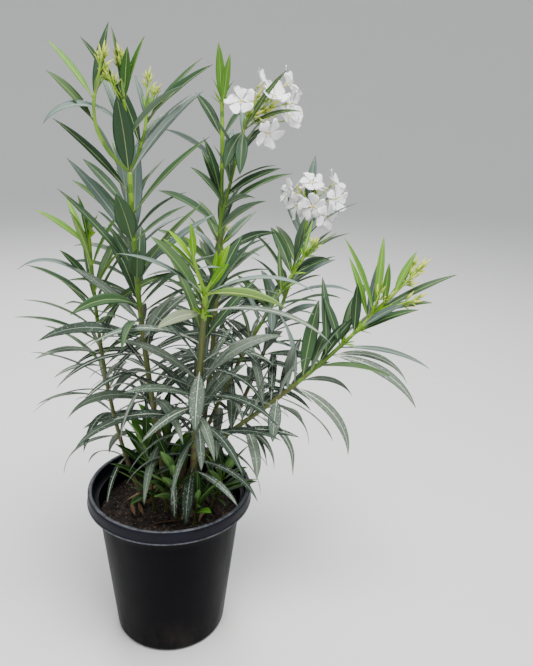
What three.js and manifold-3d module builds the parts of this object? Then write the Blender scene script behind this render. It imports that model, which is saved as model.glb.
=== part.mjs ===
// A potted oleander: one clump of leafy canes with buds and white blossom, in a round black nursery pot.
// Millimetres, +Z up. The origin is the middle of the pot's flat underside, and the front faces -Y.

import * as THREE from 'three';
import Module from 'manifold-3d';

const wasm = await Module();
wasm.setup();

// Clearance between pieces that meet, and the extra room that a leaf keeps to its neighbours
const GAP = 0.3;
const LEAF_ROOM = 0.5;

// Corners are rounded to this grid
const FINEST = 0.001;

// Pot: outer radii, heights from the ground and wall thickness
const POT_HEIGHT = 306;
const BAND_RADIUS = 152.5;
const LIP_RADIUS = 143;
const BAND_HEIGHT = 25;
const WALL_TOP_RADIUS = 134.5;
const WALL_FOOT_RADIUS = 106;
const FOOT_RADIUS = 97;
const FOOT_ROUNDING = 9;
const POT_WALL = 2.6;
const FLOOR_TOP = 4;
const RIM_ROUNDING = 4;
const LATHE_SIDES = 32;
const DRAIN_HOLES = 6;
const DRAIN_RADIUS = 7;
const DRAIN_CIRCLE = 76;
const DRAIN_SIDES = 12;

// Potting mix: the height of its surface, which is the ground level of every cane
const SOIL_TOP = 256;

// Canes
const FLARE_RADIUS = 1.55;
const FLARE_HEIGHT = 16;
const STEM_SIDES = 7;
const TWIG_SIDES = 4;
const STALK_SIDES = 3;
const SECTION_LENGTH = 75;

// Whorls of leaves: three to a whorl, each whorl turned by half a space from the last
const LEAVES_IN_WHORL = 3;
const WHORL_MARGIN = 11;
const LEAF_THICKNESS = 0.012;
const LEAF_THINNEST = 1.7;
const LEAF_STEPS = 12;
const ARCHED_STATIONS = [4, 8];
const STRAIGHT_STATIONS = [5];
const ARCHED_FROM = 32;
const FREE_PART = 2;
const STALK_WIDTH = 3.4;
const KEEL = 0.6;
const WIDEST = 0.42;
const BEND_POWER = 1.3;
const STEEPEST = -86;

// How a leaf stands at the foot of a cane, half way and at its tip: angles in degrees, length as a share of
// the cane's longest leaf, slim as width over length
const AT_FOOT = { open: 82, bend: 84, length: 0.76, slim: 0.15 };
const AT_MIDDLE = { open: 62, bend: 48, length: 1.0, slim: 0.155 };
const AT_TIP = { open: 27, bend: 14, length: 0.86, slim: 0.16 };

// How far one leaf may differ from the next: angles in degrees, sizes as a lowest and a highest share
const DIFFERS = {
  open: 8, compass: 9, roll: 30, twist: 35, length: [0.88, 1.08], width: [0.92, 1.08], bend: [0.7, 1.25],
};

// Each later try at a leaf turns it further round the stem, lifts it and makes it shorter
const LEAF_TRIES = 7;
const NEXT_TRY = { turn: 6, further: 5, lift: 0.11, shorter: 0.03 };

// Every cane runs on one smooth curve from its foot in the mix, by its bends, to its tip. wide and thin are
// its diameters at foot and tip, step is the space between whorls, leaf is its longest leaf, and turn is
// the compass angle of its first whorl. cuts are the shares of its length where its bare stem and masses end.
const CANES = [
  { name: 'tall_left', route: [[8, -8, SOIL_TOP], [-50, -30, 582], [-49, -51, 887]],
    wide: 11.5, thin: 7.6, step: 60, leaf: 178, turn: 30, cuts: [0.16, 0.56, 1] },
  { name: 'left', route: [[-50, 8, SOIL_TOP], [-128, 18, 420], [-138, 30, 770]],
    wide: 8.6, thin: 5.6, step: 46, leaf: 160, turn: 200, cuts: [0.12, 0.55, 1] },
  { name: 'front', route: [[40, -24, SOIL_TOP], [57, -49, 515], [73, -109, 718]],
    wide: 13, thin: 9.6, step: 36, leaf: 170, turn: 10, cuts: [0.2, 0.6, 1] },
  { name: 'leaning', route: [[34, 4, SOIL_TOP], [40, 5, 425], [133, 22, 380], [361, 50, 645]],
    wide: 11, thin: 6.4, step: 37, leaf: 158, turn: 0, cuts: [0.2, 0.62, 1] },
  { name: 'right', route: [[18, 24, SOIL_TOP], [77, 40, 494], [235, 122, 728]],
    wide: 9, thin: 5.6, step: 36, leaf: 118, turn: 50, cuts: [0.24, 0.62, 1] },
  { name: 'tall_back', route: [[38, 52, SOIL_TOP], [92, 68, 640], [76, 118, 990]],
    wide: 11, thin: 6.2, step: 52, leaf: 140, turn: 78, cuts: [0.22, 0.59, 1] },
  { name: 'back_right', route: [[54, 74, SOIL_TOP], [211, 98, 626], [240, 211, 786]],
    wide: 9, thin: 5.8, step: 46, leaf: 138, turn: 15, cuts: [0.24, 0.62, 1] },
  { name: 'back_left', route: [[-18, 50, SOIL_TOP], [-70, 110, 600], [-112, 190, 850]],
    wide: 10, thin: 6, step: 56, leaf: 156, turn: 100, cuts: [0.2, 0.6, 1] },
  { name: 'back', route: [[10, 84, SOIL_TOP], [60, 150, 540], [70, 250, 716]],
    wide: 9.6, thin: 6, step: 54, leaf: 150, turn: 160, cuts: [0.2, 0.6, 1] },
];

// Side shoots grow from the tip of a cane, or from a share of its length, and are leafy all along
const SHOOTS = [
  { name: 'tall_left_middle', on: 'tall_left', from: 1, bend: [-50, -58, 946], tip: [-53, -60, 992],
    wide: 6.6, thin: 4.6, step: 46, leaf: 138, turn: 70 },
  { name: 'tall_left_outer', on: 'tall_left', from: 1, bend: [-104, -84, 935], tip: [-86, -92, 1000],
    wide: 6, thin: 4.4, step: 40, leaf: 132, turn: 190 },
  { name: 'tall_left_inner', on: 'tall_left', from: 1, bend: [-28, -34, 926], tip: [-27, -22, 972],
    wide: 6, thin: 4.4, step: 42, leaf: 132, turn: 22 },
  { name: 'front_left', on: 'front', from: 1, bend: [58, -122, 762], tip: [52, -130, 800],
    wide: 6.6, thin: 4.4, step: 22, leaf: 78, turn: 100 },
  { name: 'front_right', on: 'front', from: 1, bend: [88, -108, 742], tip: [97, -98, 772],
    wide: 6.4, thin: 4.4, step: 22, leaf: 74, turn: 40 },
  { name: 'tall_back_side', on: 'tall_back', from: 0.72, bend: [100, 92, 880], tip: [116, 96, 946],
    wide: 5.8, thin: 4.4, step: 42, leaf: 104, turn: 120 },
];

// Young shoots straight from the mix at the foot of the clump
const BASAL_SHOOTS = [
  { name: 'basal_front', route: [[16, -40, SOIL_TOP], [19, -50, 320], [12, -54, 372]],
    wide: 6, thin: 4, step: 33, leaf: 92, turn: 20 },
  { name: 'basal_left', route: [[-28, -14, SOIL_TOP], [-34, -22, 340], [-40, -22, 404]],
    wide: 5.6, thin: 4, step: 36, leaf: 86, turn: 80 },
  { name: 'basal_right', route: [[78, -4, SOIL_TOP], [92, -12, 300], [104, -16, 350]],
    wide: 5.6, thin: 4, step: 32, leaf: 80, turn: 45 },
  { name: 'basal_back', route: [[-14, 84, SOIL_TOP], [-22, 100, 330], [-34, 108, 380]],
    wide: 5.6, thin: 4, step: 36, leaf: 84, turn: 0 },
];

// How old the foot of a side shoot and of a basal shoot is, from 0 at a cane's foot to 1 at its tip
const SHOOT_AGE = 0.75;
const BASAL_AGE = 0.45;

// Where the seeds of each group start
const SHOOT_SEED = 20;
const BASAL_SEED = 40;
const CLUSTER_SEED = 60;
const TRUSS_SEED = 80;

// Clusters of slim closed buds at the tips of canes and shoots
const BUD_CLUSTERS = [
  { name: 'buds_tall_left_middle', on: 'tall_left_middle', stalk: 56, buds: 8 },
  { name: 'buds_tall_left_outer', on: 'tall_left_outer', stalk: 50, buds: 7 },
  { name: 'buds_tall_left_inner', on: 'tall_left_inner', stalk: 48, buds: 6 },
  { name: 'buds_leaning', on: 'leaning', stalk: 94, buds: 8 },
  { name: 'buds_right', on: 'right', stalk: 20, buds: 5 },
  { name: 'buds_back_left', on: 'back_left', stalk: 32, buds: 6 },
  { name: 'buds_back', on: 'back', stalk: 28, buds: 5 },
];
const BUD_LENGTH = 19;
const BUD_RADIUS = 2.5;
const BUD_BELLY = 0.6;
const BUD_STALK_RADIUS = 1.1;
const CLUSTER_STALK_RADIUS = 1.8;

// How the buds of a cluster change from its lowest to its highest, and by how much chance
const CLUSTER = {
  place: [0.6, 0.97], spread: [36, 9], stalk: [11, 6], longer: [0.9, 1.1], size: [0.85, 1.1],
};
const GOLDEN_ANGLE = 137.5;

// Open trusses. Each flower's throat and each bud's tip is given by its place from the top of the stalk.
const BLOSSOM_TRUSSES = [
  { name: 'blossom_tall_back', on: 'tall_back_side', stalk: 20,
    flowers: [
      [-30, -12, 26], [0, -36, 26], [24, 14, 54], [44, -14, 36], [66, 20, 56], [74, -14, 26], [38, -36, -22],
    ],
    buds: [[52, 0, 46], [48, -22, 18], [42, -16, 2], [12, -10, 30]] },
  { name: 'blossom_back_right', on: 'back_right', stalk: 18,
    flowers: [
      [-52, -16, 30], [-48, -42, 6], [-4, -28, 42], [38, 2, 54], [38, -26, 24], [-6, -54, 4], [28, -54, -10],
    ],
    buds: [[-30, -12, 42], [16, -38, 22], [4, 6, 58]] },
];
const PETAL_LENGTH = 25;
const PETAL_WIDTH = 19;
const PETAL_THICKNESS = 1.3;
const PETALS = 5;
const TUBE_LENGTH = 13;
const THROAT_RADIUS = 4.4;
const FLOWER_BUD_SIZE = 1.2;

// A petal's sections from the throat out: shares of its length and width, and its rise and sideways sweep
const PETAL_SECTIONS = [
  { along: 0.06, wide: 0.09, rise: -1, sweep: 0 },
  { along: 0.66, wide: 1, rise: 1.6, sweep: 1.2 },
  { along: 1, wide: 0.56, rise: 0.6, sweep: 2.6 },
];

// Finishes of the pieces
const FINISH = {
  pot: { color: 0x17181b, roughness: 0.5, metalness: 0 },
  mix: { color: 0x3b2c22, roughness: 0.95, metalness: 0 },
  wood: { color: 0x6f604a, roughness: 0.85, metalness: 0 },
  leaves: { color: 0x46603f, roughness: 0.6, metalness: 0 },
  young: { color: 0x86a83c, roughness: 0.5, metalness: 0 },
  buds: { color: 0xcdd08a, roughness: 0.55, metalness: 0 },
  petals: { color: 0xf3f2ee, roughness: 0.6, metalness: 0 },
};

const UP = new THREE.Vector3(0, 0, 1);
const EAST = new THREE.Vector3(1, 0, 0);
// Open flowers turn towards the light, which comes from the front
const SUNWARD = new THREE.Vector3(0, -0.7, 0.25);
const rad = THREE.MathUtils.degToRad;
const lerp = THREE.MathUtils.lerp;
const between = ([low, high], share) => lerp(low, high, share);

// A seeded stream of numbers from 0 to 1
function stream(seed) {
  let state = Math.imul(seed, 2654435761) >>> 0;
  return () => {
    state = (state + 0x6d2b79f5) >>> 0;
    let mixed = Math.imul(state ^ (state >>> 15), state | 1);
    mixed = (mixed + Math.imul(mixed ^ (mixed >>> 7), mixed | 61)) ^ mixed;
    return ((mixed ^ (mixed >>> 14)) >>> 0) / 4294967296;
  };
}

// A closed solid from corner points and triangles, turned so that its faces point out
function solidOf(points, triangles) {
  const corners = triangles.map((triangle) => triangle.map((index) => points[index]));
  const volume = corners.reduce((sum, [a, b, c]) => sum + a.dot(b.clone().cross(c)), 0);
  const faces = volume < 0 ? triangles.map(([a, b, c]) => [a, c, b]) : triangles;
  return new wasm.Manifold(new wasm.Mesh({
    numProp: 3,
    vertProperties: new Float32Array(points.flatMap((point) => point.toArray())),
    triVerts: new Uint32Array(faces.flat()),
  }));
}

// Rings of equal count joined into one skin. The first is capped, and the last is capped or drawn to a point.
function loft(rings, point = null) {
  const sides = rings[0].length;
  const points = rings.flat();
  const triangles = [];
  for (let ring = 0; ring + 1 < rings.length; ring += 1) {
    for (let side = 0; side < sides; side += 1) {
      const next = (side + 1) % sides;
      const a = ring * sides + side;
      const b = ring * sides + next;
      triangles.push([a, b, b + sides], [a, b + sides, a + sides]);
    }
  }
  for (let side = 1; side + 1 < sides; side += 1) {
    triangles.push([0, side + 1, side]);
  }
  const last = (rings.length - 1) * sides;
  if (point) {
    points.push(point);
    for (let side = 0; side < sides; side += 1) {
      triangles.push([last + side, last + ((side + 1) % sides), points.length - 1]);
    }
  } else {
    for (let side = 1; side + 1 < sides; side += 1) {
      triangles.push([last, last + side, last + side + 1]);
    }
  }
  return solidOf(points, triangles);
}

// The solid of a three.js geometry whose shared corners are merged by place
function solidOfGeometry(geometry) {
  const places = geometry.getAttribute('position');
  const order = geometry.index ? Array.from(geometry.index.array) : [...Array(places.count).keys()];
  const seen = new Map();
  const points = [];
  const merged = order.map((index) => {
    const point = new THREE.Vector3().fromBufferAttribute(places, index);
    const key = point.toArray().map((value) => Math.round(value * 1e4)).join();
    if (!seen.has(key)) {
      seen.set(key, points.push(point) - 1);
    }
    return seen.get(key);
  });
  const triangles = [];
  for (let start = 0; start < merged.length; start += 3) {
    const [a, b, c] = merged.slice(start, start + 3);
    if (a !== b && b !== c && c !== a) {
      triangles.push([a, b, c]);
    }
  }
  return solidOf(points, triangles);
}

// Pieces fused to one body, without the loose scraps that a cut may leave
function fuse(solids) {
  const bodies = wasm.Manifold.union(solids).decompose();
  bodies.sort((one, other) => other.volume() - one.volume());
  return bodies[0];
}

// A solid's corners rounded to a fine grid, and its triangles without those that the rounding closed up
function roundedMesh(solid) {
  const { vertProperties, triVerts } = solid.getMesh();
  const seen = new Map();
  const places = [];
  const corners = Array.from({ length: vertProperties.length / 3 }, (_, index) => {
    const place = [0, 1, 2].map((axis) => Math.round(vertProperties[3 * index + axis] / FINEST));
    const key = place.join();
    if (!seen.has(key)) {
      seen.set(key, places.push(place.map((value) => value * FINEST)) - 1);
    }
    return seen.get(key);
  });
  const triangles = [];
  for (let start = 0; start < triVerts.length; start += 3) {
    const triangle = [0, 1, 2].map((corner) => corners[triVerts[start + corner]]);
    if (new Set(triangle).size === 3) {
      triangles.push(triangle);
    }
  }
  return { places, triangles };
}

// Whether the rounded mesh is still one closed skin: each edge is used once in each direction
function staysClosed(solid) {
  const edges = new Set();
  const { triangles } = roundedMesh(solid);
  triangles.forEach((triangle) => {
    triangle.forEach((from, corner) => edges.add(`${from} ${triangle[(corner + 1) % 3]}`));
  });
  const paired = [...edges].every((edge) => edges.has(edge.split(' ').reverse().join(' ')));
  return paired && edges.size === 3 * triangles.length;
}

// A ring of points round a centre, in the plane of two directions
function ring(centre, radius, across, along, sides) {
  return Array.from({ length: sides }, (_, side) => {
    const angle = (2 * Math.PI * side) / sides;
    return centre.clone()
      .addScaledVector(across, radius * Math.cos(angle))
      .addScaledVector(along, radius * Math.sin(angle));
  });
}

// Two directions square to an axis, the first as near to east as it can be
function squareTo(axis) {
  const across = EAST.clone().addScaledVector(axis, -EAST.dot(axis)).normalize();
  return [across, axis.clone().cross(across)];
}

// The smooth curve through a foot, one or two bends and a tip
function curveOf(route) {
  const points = route.map((place) => new THREE.Vector3(...place));
  return points.length === 3
    ? new THREE.QuadraticBezierCurve3(...points)
    : new THREE.CubicBezierCurve3(...points);
}

// A tapering limb over a stretch of a curve, given in lengths along it. grow makes it fatter and longer.
function limb(cane, from, to, sides, grow = 0) {
  const sections = Math.max(1, Math.round((to - from) / SECTION_LENGTH));
  const rings = [];
  for (let section = 0; section <= sections; section += 1) {
    const place = lerp(from, to, section / sections) / cane.length;
    const axis = cane.curve.getTangentAt(place);
    const radius = lerp(cane.wide, cane.thin, place) / 2 + grow;
    const centre = cane.curve.getPointAt(place);
    if (grow && section === sections) {
      centre.addScaledVector(axis, grow);
    }
    rings.push(ring(centre, radius, ...squareTo(axis), sides));
  }
  if (cane.flared && from === 0) {
    const foot = cane.curve.getPointAt(0).setZ(SOIL_TOP + GAP);
    const collar = cane.curve.getPointAt(FLARE_HEIGHT / cane.length);
    const radius = cane.wide / 2 + grow;
    rings[0] = ring(collar, radius, ...squareTo(UP), sides);
    rings.unshift(ring(foot, radius * FLARE_RADIUS, ...squareTo(UP), sides));
  }
  return loft(rings);
}

// The pose of a leaf from its whorl: a compass heading, a slope at its root, and how far it bends down
function leafPose(cane, place, compass, open) {
  const axis = cane.curve.getTangentAt(place);
  const [across, along] = squareTo(axis);
  const out = axis.clone().multiplyScalar(Math.cos(rad(open)))
    .addScaledVector(across, Math.sin(rad(open)) * Math.cos(rad(compass)))
    .addScaledVector(along, Math.sin(rad(open)) * Math.sin(rad(compass)));
  return { root: cane.curve.getPointAt(place), heading: Math.atan2(out.y, out.x), slope: Math.asin(out.z) };
}

// Points and directions along the middle of a leaf, which bends down more and more towards its tip
function leafSpine(leaf) {
  const spine = [];
  const centre = leaf.root.clone();
  const level = new THREE.Vector3(Math.cos(leaf.heading), Math.sin(leaf.heading), 0);
  const flat = new THREE.Vector3(-Math.sin(leaf.heading), Math.cos(leaf.heading), 0);
  for (let step = 0; step <= LEAF_STEPS; step += 1) {
    const share = step / LEAF_STEPS;
    const slope = Math.max(leaf.slope - rad(leaf.bend) * share ** BEND_POWER, rad(STEEPEST));
    const ahead = level.clone().multiplyScalar(Math.cos(slope)).addScaledVector(UP, Math.sin(slope));
    const upper = ahead.clone().cross(flat);
    const roll = leaf.roll + leaf.twist * share;
    const side = flat.clone().multiplyScalar(Math.cos(roll)).addScaledVector(upper, Math.sin(roll));
    spine.push({ centre: centre.clone(), side, upper: ahead.clone().cross(side) });
    centre.addScaledVector(ahead, leaf.length / LEAF_STEPS);
  }
  return spine;
}

// How near a leaf comes to its full width at a share of its length
function widthShare(share) {
  return share < WIDEST
    ? Math.sin((share / WIDEST) * (Math.PI / 2))
    : 1 - ((share - WIDEST) / (1 - WIDEST)) ** 2;
}

// A thin blade along a leaf's middle: a flat upper face with a keel below. start leaves out its root.
// Arched leaves have two stations between root and tip, and straight ones have one.
function blade(leaf, start = 0, grow = 0) {
  const spine = leafSpine(leaf);
  const thick = Math.max(LEAF_THICKNESS * leaf.length, LEAF_THINNEST) + 2 * grow;
  const stations = [start, ...(leaf.bend > ARCHED_FROM ? ARCHED_STATIONS : STRAIGHT_STATIONS)];
  const rings = stations.map((station) => {
    const { centre, side, upper } = spine[station];
    const width = lerp(STALK_WIDTH, leaf.width, widthShare(station / LEAF_STEPS));
    const half = width / 2 + grow;
    return [
      centre.clone().addScaledVector(side, -half).addScaledVector(upper, thick * (1 - KEEL)),
      centre.clone().addScaledVector(upper, -thick * KEEL),
      centre.clone().addScaledVector(side, half).addScaledVector(upper, thick * (1 - KEEL)),
    ];
  });
  return loft(rings, spine[LEAF_STEPS].centre);
}

// A value between those at the foot, the middle and the tip of a cane
function along(key, share) {
  return share < 0.5
    ? lerp(AT_FOOT[key], AT_MIDDLE[key], share * 2)
    : lerp(AT_MIDDLE[key], AT_TIP[key], share * 2 - 1);
}

// A turn one way or the other, up to a number of degrees
function either(degrees, share) {
  return lerp(-degrees, degrees, share);
}

// One try at a leaf. Later tries turn it round the stem and lift it out of its neighbours' way.
function tryLeaf(cane, place, compass, random, attempt) {
  const age = lerp(cane.oldest, 1, place);
  const aside = attempt === 0 ? 0 : (attempt % 2 ? 1 : -1) * (NEXT_TRY.turn + NEXT_TRY.further * attempt);
  const lift = 1 - NEXT_TRY.lift * attempt;
  const open = (along('open', age) + either(DIFFERS.open, random())) * lift;
  const longest = cane.leaf * along('length', age);
  const length = longest * between(DIFFERS.length, random()) * (1 - NEXT_TRY.shorter * attempt);
  return {
    ...leafPose(cane, place, compass + either(DIFFERS.compass, random()) + aside, open),
    length,
    width: length * along('slim', age) * between(DIFFERS.width, random()),
    bend: along('bend', age) * between(DIFFERS.bend, random()) * lift,
    roll: rad(either(DIFFERS.roll, random())),
    twist: rad(either(DIFFERS.twist, random())),
  };
}

// All solids that later leaves must stay clear of, with the mass that owns each
const placed = [];

function place(solid, owner, isFreePart = false) {
  placed.push({ solid, owner, isFreePart, box: solid.boundingBox() });
}

function apart(one, other) {
  return [0, 1, 2].some((axis) => one.min[axis] > other.max[axis] || one.max[axis] < other.min[axis]);
}

// A leaf's whole blade is tried against the other masses, and its free part against its own mass's leaves
function isClear(shape, owner) {
  const whole = blade(shape, 0, LEAF_ROOM);
  const free = blade(shape, FREE_PART);
  const box = whole.boundingBox();
  return placed.every((other) => {
    const counts = (other.owner === owner) === other.isFreePart;
    return !counts || apart(box, other.box)
      || (other.isFreePart ? free : whole).intersect(other.solid).isEmpty();
  });
}

// One mass: its stem with leaves fused on, in whorls along its stretch of the cane.
// A leaf that finds no clear place, or whose seam would leave slivers, is left off.
function leafyMass(mass) {
  const { cane, from, to } = mass;
  let body = mass.stem;
  const whorls = Math.floor((cane.length - WHORL_MARGIN) / cane.step);
  for (let whorl = 0; whorl <= whorls; whorl += 1) {
    const distance = cane.length - WHORL_MARGIN - whorl * cane.step;
    if (distance < from + WHORL_MARGIN || distance > to - WHORL_MARGIN + 1) {
      continue;
    }
    for (let leaf = 0; leaf < LEAVES_IN_WHORL; leaf += 1) {
      const compass = cane.turn + whorl * 60 + leaf * 120;
      const seed = cane.seed * 1000 + whorl * LEAVES_IN_WHORL + leaf + 1;
      for (let attempt = 0; attempt < LEAF_TRIES; attempt += 1) {
        const shape = tryLeaf(cane, distance / cane.length, compass, stream(seed), attempt);
        if (!isClear(shape, mass.name)) {
          continue;
        }
        const grown = fuse([body, blade(shape)]);
        if (staysClosed(grown)) {
          body = grown;
          place(blade(shape), mass.name);
          place(blade(shape, FREE_PART), mass.name, true);
          break;
        }
      }
    }
  }
  return body;
}

// A closed skin with three sides along a line: rings of (place, direction, radius), then perhaps a point
function slimSolid(sections, point = null) {
  const rings = sections.map(([place, axis, radius]) => ring(place, radius, ...squareTo(axis), STALK_SIDES));
  return loft(rings, point);
}

// A place at a distance from another, along a direction
function onward(start, axis, distance) {
  return start.clone().addScaledVector(axis, distance);
}

// A closed bud on its stalk: slim, swelling towards its pointed end
function bud(start, axis, stalkLength, size) {
  const neck = onward(start, axis, stalkLength);
  const belly = onward(neck, axis, BUD_LENGTH * size * BUD_BELLY);
  return slimSolid([
    [start, axis, BUD_STALK_RADIUS],
    [neck, axis, BUD_STALK_RADIUS],
    [belly, axis, BUD_RADIUS * size],
  ], onward(neck, axis, BUD_LENGTH * size));
}

// One petal: slim at the throat, broad and blunt at its end, a little to one side like a windmill's sail
function petal(throat, face, compass) {
  const [across, aside] = squareTo(face);
  const out = across.clone().multiplyScalar(Math.cos(compass)).addScaledVector(aside, Math.sin(compass));
  const side = face.clone().cross(out);
  return loft(PETAL_SECTIONS.map(({ along: share, wide, rise, sweep }) => {
    const middle = onward(throat, out, PETAL_LENGTH * share)
      .addScaledVector(face, rise).addScaledVector(side, sweep);
    const half = (PETAL_WIDTH / 2) * wide;
    return [
      onward(middle, side, -half).addScaledVector(face, PETAL_THICKNESS / 2),
      onward(middle, face, -PETAL_THICKNESS / 2),
      onward(middle, side, half).addScaledVector(face, PETAL_THICKNESS / 2),
    ];
  }));
}

// An open flower: a stalk that turns into a slim tube, which opens into five petals
function flower(start, throat, turn) {
  const away = throat.clone().sub(start).normalize();
  const face = away.clone().add(SUNWARD).normalize();
  const foot = onward(throat, face, -TUBE_LENGTH);
  const up = foot.clone().sub(start).normalize();
  const middle = up.clone().add(face).normalize();
  const stem = slimSolid([
    [start, up, BUD_STALK_RADIUS],
    [foot, middle, BUD_STALK_RADIUS],
    [throat, face, THROAT_RADIUS],
  ]);
  const petals = Array.from({ length: PETALS }, (_, index) => (
    petal(throat, face, turn + (index * 2 * Math.PI) / PETALS)));
  return [stem, ...petals];
}

// The stalk that carries a cluster starts just past the tip of its cane
function clusterStalk(cane, reach) {
  const axis = cane.curve.getTangentAt(1);
  const start = onward(cane.curve.getPointAt(1), axis, GAP);
  const end = onward(start, axis, reach);
  const solid = slimSolid([[start, axis, cane.thin / 2], [end, axis, CLUSTER_STALK_RADIUS]]);
  return { axis, start, end, solid };
}

// A direction that leans away from an axis by an angle, at a compass angle round it
function leaning(axis, angle, compass) {
  const [across, aside] = squareTo(axis);
  return axis.clone().multiplyScalar(Math.cos(rad(angle)))
    .addScaledVector(across, Math.sin(rad(angle)) * Math.cos(rad(compass)))
    .addScaledVector(aside, Math.sin(rad(angle)) * Math.sin(rad(compass)));
}

function budCluster(spec, cane, seed) {
  const random = stream(seed);
  const { axis, start, end, solid } = clusterStalk(cane, spec.stalk);
  const pieces = [solid];
  for (let index = 0; index < spec.buds; index += 1) {
    const share = index / (spec.buds - 1);
    const root = start.clone().lerp(end, between(CLUSTER.place, share));
    const away = leaning(axis, between(CLUSTER.spread, share), index * GOLDEN_ANGLE);
    const reach = between(CLUSTER.stalk, share) * between(CLUSTER.longer, random());
    pieces.push(bud(root, away, reach, between(CLUSTER.size, random())));
  }
  return fuse(pieces);
}

function blossomTruss(spec, cane, seed) {
  const random = stream(seed);
  const { axis, end, solid } = clusterStalk(cane, spec.stalk);
  const root = onward(end, axis, -CLUSTER_STALK_RADIUS);
  const pieces = [solid];
  spec.flowers.forEach((offset) => {
    pieces.push(...flower(root, end.clone().add(new THREE.Vector3(...offset)), random() * Math.PI));
  });
  spec.buds.forEach((offset) => {
    const reach = end.clone().add(new THREE.Vector3(...offset)).sub(root);
    const stalkLength = reach.length() - BUD_LENGTH * FLOWER_BUD_SIZE;
    pieces.push(bud(root, reach.normalize(), stalkLength, FLOWER_BUD_SIZE));
  });
  return fuse(pieces);
}

// A solid turned round the pot's axis from a section of radii and heights
function turned(section) {
  const points = section.map(([radius, height]) => new THREE.Vector2(radius, height));
  return solidOfGeometry(new THREE.LatheGeometry(points, LATHE_SIDES).rotateX(Math.PI / 2));
}

// The pot: a thin wall that steps out into a rounded band at the rim, with drain holes in its floor
function pot() {
  const bandFoot = POT_HEIGHT - BAND_HEIGHT;
  const bandTop = POT_HEIGHT - RIM_ROUNDING;
  let body = turned([
    [0, 0],
    [FOOT_RADIUS, 0],
    [lerp(FOOT_RADIUS, WALL_FOOT_RADIUS, 0.7), FOOT_ROUNDING * 0.3],
    [WALL_FOOT_RADIUS, FOOT_ROUNDING],
    [WALL_TOP_RADIUS, bandFoot],
    [BAND_RADIUS, bandFoot + RIM_ROUNDING / 2],
    [BAND_RADIUS, bandTop],
    [BAND_RADIUS - RIM_ROUNDING, POT_HEIGHT],
    [LIP_RADIUS + RIM_ROUNDING / 2, POT_HEIGHT],
    [LIP_RADIUS, bandTop],
    [LIP_RADIUS, bandFoot + 2 * RIM_ROUNDING],
    [WALL_TOP_RADIUS - POT_WALL, bandFoot + RIM_ROUNDING],
    [WALL_FOOT_RADIUS - POT_WALL, FOOT_ROUNDING],
    [FOOT_RADIUS, FLOOR_TOP],
    [0, FLOOR_TOP],
  ]);
  for (let hole = 0; hole < DRAIN_HOLES; hole += 1) {
    const angle = ((hole + 0.5) * 2 * Math.PI) / DRAIN_HOLES;
    const drill = new THREE.CylinderGeometry(DRAIN_RADIUS, DRAIN_RADIUS, 3 * FLOOR_TOP, DRAIN_SIDES)
      .rotateX(Math.PI / 2)
      .translate(DRAIN_CIRCLE * Math.cos(angle), DRAIN_CIRCLE * Math.sin(angle), FLOOR_TOP / 2);
    body = body.subtract(solidOfGeometry(drill));
  }
  return body;
}

// The potting mix: it fills the pot, just clear of the wall, up to a level top
function pottingMix() {
  const rise = (SOIL_TOP - FOOT_ROUNDING) / (POT_HEIGHT - BAND_HEIGHT - FOOT_ROUNDING);
  const inset = POT_WALL + 2 * GAP;
  return turned([
    [0, FLOOR_TOP + GAP],
    [FOOT_RADIUS - 2 * GAP, FLOOR_TOP + GAP],
    [WALL_FOOT_RADIUS - inset, FOOT_ROUNDING + 2 * GAP],
    [lerp(WALL_FOOT_RADIUS, WALL_TOP_RADIUS, rise) - inset, SOIL_TOP],
    [0, SOIL_TOP],
  ]);
}

// A named mesh from a solid, with a flat-shaded finish
function meshOf(name, solid, finish) {
  const { places, triangles } = roundedMesh(solid);
  const geometry = new THREE.BufferGeometry();
  geometry.setAttribute('position', new THREE.BufferAttribute(new Float32Array(places.flat()), 3));
  geometry.setIndex(new THREE.BufferAttribute(new Uint32Array(triangles.flat()), 1));
  geometry.computeVertexNormals();
  const material = new THREE.MeshStandardMaterial({ ...finish, flatShading: true });
  const named = new THREE.Mesh(geometry, material);
  named.name = name;
  return named;
}

// Every cane with its curve and length, ready to be cut into its bare stem and its masses
function readyCane(spec, index, base) {
  const curve = curveOf(spec.route);
  curve.arcLengthDivisions = 400;
  return { ...spec, ...base, curve, length: curve.getLength(), seed: index + 1 };
}

const canes = new Map();
CANES.forEach((spec, index) => {
  canes.set(spec.name, readyCane(spec, index, { flared: true, oldest: 0, finish: FINISH.leaves }));
});
SHOOTS.forEach((spec, index) => {
  const parent = canes.get(spec.on);
  const route = [parent.curve.getPointAt(spec.from).toArray(), spec.bend, spec.tip];
  const finish = spec.on === 'front' ? FINISH.young : FINISH.leaves;
  const base = { flared: false, oldest: SHOOT_AGE, cuts: [1], finish };
  canes.set(spec.name, readyCane({ ...spec, route }, SHOOT_SEED + index, base));
});
BASAL_SHOOTS.forEach((spec, index) => {
  const base = { flared: true, oldest: BASAL_AGE, cuts: [1], finish: FINISH.young };
  canes.set(spec.name, readyCane(spec, BASAL_SEED + index, base));
});

const part = new THREE.Group();
part.name = 'potted_oleander';

const potSolid = pot();
const mixSolid = pottingMix();
place(potSolid, 'pot');
place(mixSolid, 'potting_mix');
part.add(meshOf('pot', potSolid, FINISH.pot));
part.add(meshOf('potting_mix', mixSolid, FINISH.mix));

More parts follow.
